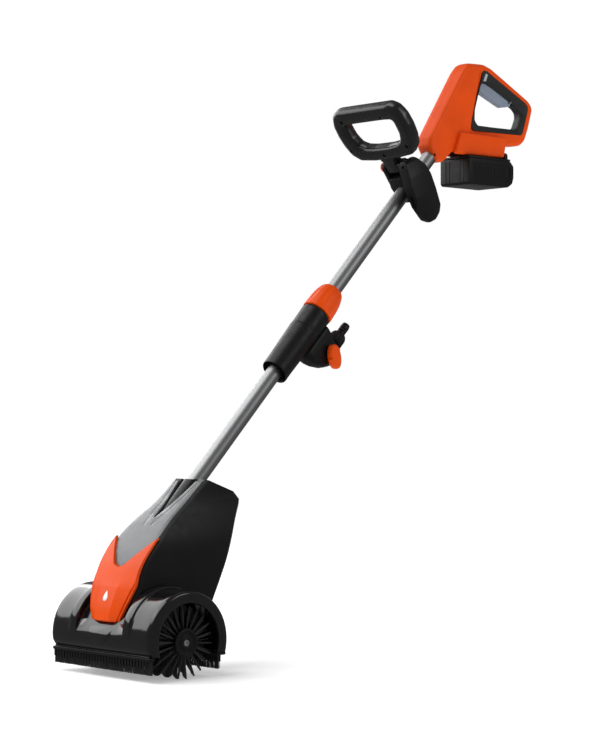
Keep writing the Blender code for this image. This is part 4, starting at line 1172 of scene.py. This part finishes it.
for i, (x, z) in enumerate(SCREWS):
    place = screw_place(x, -13.1, z)
    head = solid(f"loop_screw_{i}", lathe([(2.9, 0), (2.9, 1.0), (2.2, 1.7)], 24), place)
    for turn in (0, 90):
        slot = moved(block((-1.8, -0.35, 0.9), (1.8, 0.35, 3)), Matrix.Rotation(math.radians(turn), 4, "Z"))
        cut(head, solid("cross", slot, place))
    show(head, "steel", "aux_loop")

UPPER_SECTION = [(-24, -0.15), (24, -0.15), (24, -14), (16, -33), (-16, -33), (-24, -14)]
LOWER_SECTION = [(-24, 0.15), (24, 0.15), (24, 12), (14, 25), (-14, 25), (-24, 12)]
CHEEK = [(-60, 700), (-60, 720), (-56, 724), (-20, 742), (-8, 742), (-8, 694), (-20, 692), (-50, 697)]


def clamp_half(name, line):
    """Half of the clamp, before its bores."""
    return solid(name, prism(rounded(line, [0.6, 0.6, 5, 7, 7, 5], 4), 690, 750, "z"), POLE, 1.6, 3, 40)


upper = clamp_half("clamp_saddle", UPPER_SECTION)
cheeks = []
for side in (-1, 1):
    low, high = sorted((side * 15.2, side * 24.0))
    cheek = prism(rounded(CHEEK, [8, 8, 6, 8, 2, 2, 8, 6], 5), low, high)
    cheeks.append(solid("cheek", cheek, POLE, 1.4, 3, 40))
add(upper, *cheeks)
cut(upper, bore(BORE, 670, 770, POLE), bore(BOLT_ROOM, -60, 60, PIVOT, 32))
show(upper, "black_plastic", "aux_clamp", ["clamp_upper"], 30)
lower = clamp_half("clamp_strap", LOWER_SECTION)
cut(lower, bore(BORE, 670, 770, POLE))
for s in (702, 720, 738):
    cut(lower, solid("strap_groove", block((-30, 23.6, s - 1), (30, 30, s + 1)), POLE))
show(lower, "black_plastic", "aux_clamp", ["clamp_lower"], 30)

cap = rounded([(3.3, -24.4), (9.0, -24.4), (9.0, -30.5), (6.5, -33.5), (3.3, -33.5)], [0.3, 0.5, 2.0, 1.5, 0.3], 4)
show(solid("bolt_cap_round", sleeve(cap, 48), PIVOT), "orange_plastic", "aux_clamp", ["bolt_cap"])

base_round = [(10.9 * math.cos(a), 10.9 * math.sin(a)) for a in np.linspace(0, -math.pi, 25)]
LEVER_SIDE = base_round + [(-9, 20), (-6, 60), (-3, 100), (-1, 118), (8, 118), (13, 96), (15, 60), (14, 22)]
LEVER_FRONT = [
    (-14, -10.9), (14, -10.9), (30, 12), (35, 32), (36, 94), (30, 108), (16, 118), (2, 118), (-12, 108),
    (-22, 78), (-24, 40), (-18, 4),
]
side_radii = [0] * len(base_round) + [20, 60, 40, 4, 4, 30, 60, 20]
lever = solid("lever_paddle", prism(rounded(LEVER_SIDE, side_radii, 6), -40, 30, "y"), LEVER)
front_line = rounded([(-y, z) for y, z in LEVER_FRONT], [3, 3, 12, 12, 14, 12, 8, 8, 10, 20, 16, 12], 6)
combine(lever, [solid("front_shape", prism(front_line, -20, 25, "x"), LEVER)], "INTERSECT")
round_edges(lever, 2.4, 3, 32)
recess = moved(prism(oval(4.4, 21, 40, 2.6), 19.2, 40, "y"), Matrix.Translation((4.5, 0, 77)))
rooms = [
    solid("thumb_recess", recess, LEVER),
    solid("eye_room", block((-20, -5.2, -30), (6.5, 5.2, 7.5)), LEVER),
    solid("pin_room", prism(circle(2.9, 32), -60, 60, "y"), LEVER),
    solid("pocket", block((-20, -29, 30), (2.0, -4, 86)), LEVER, 1.2, 2),
]
cut(lever, *rooms)
show(lever, "black_plastic", "aux_lever", ["cam_lever"], 30)
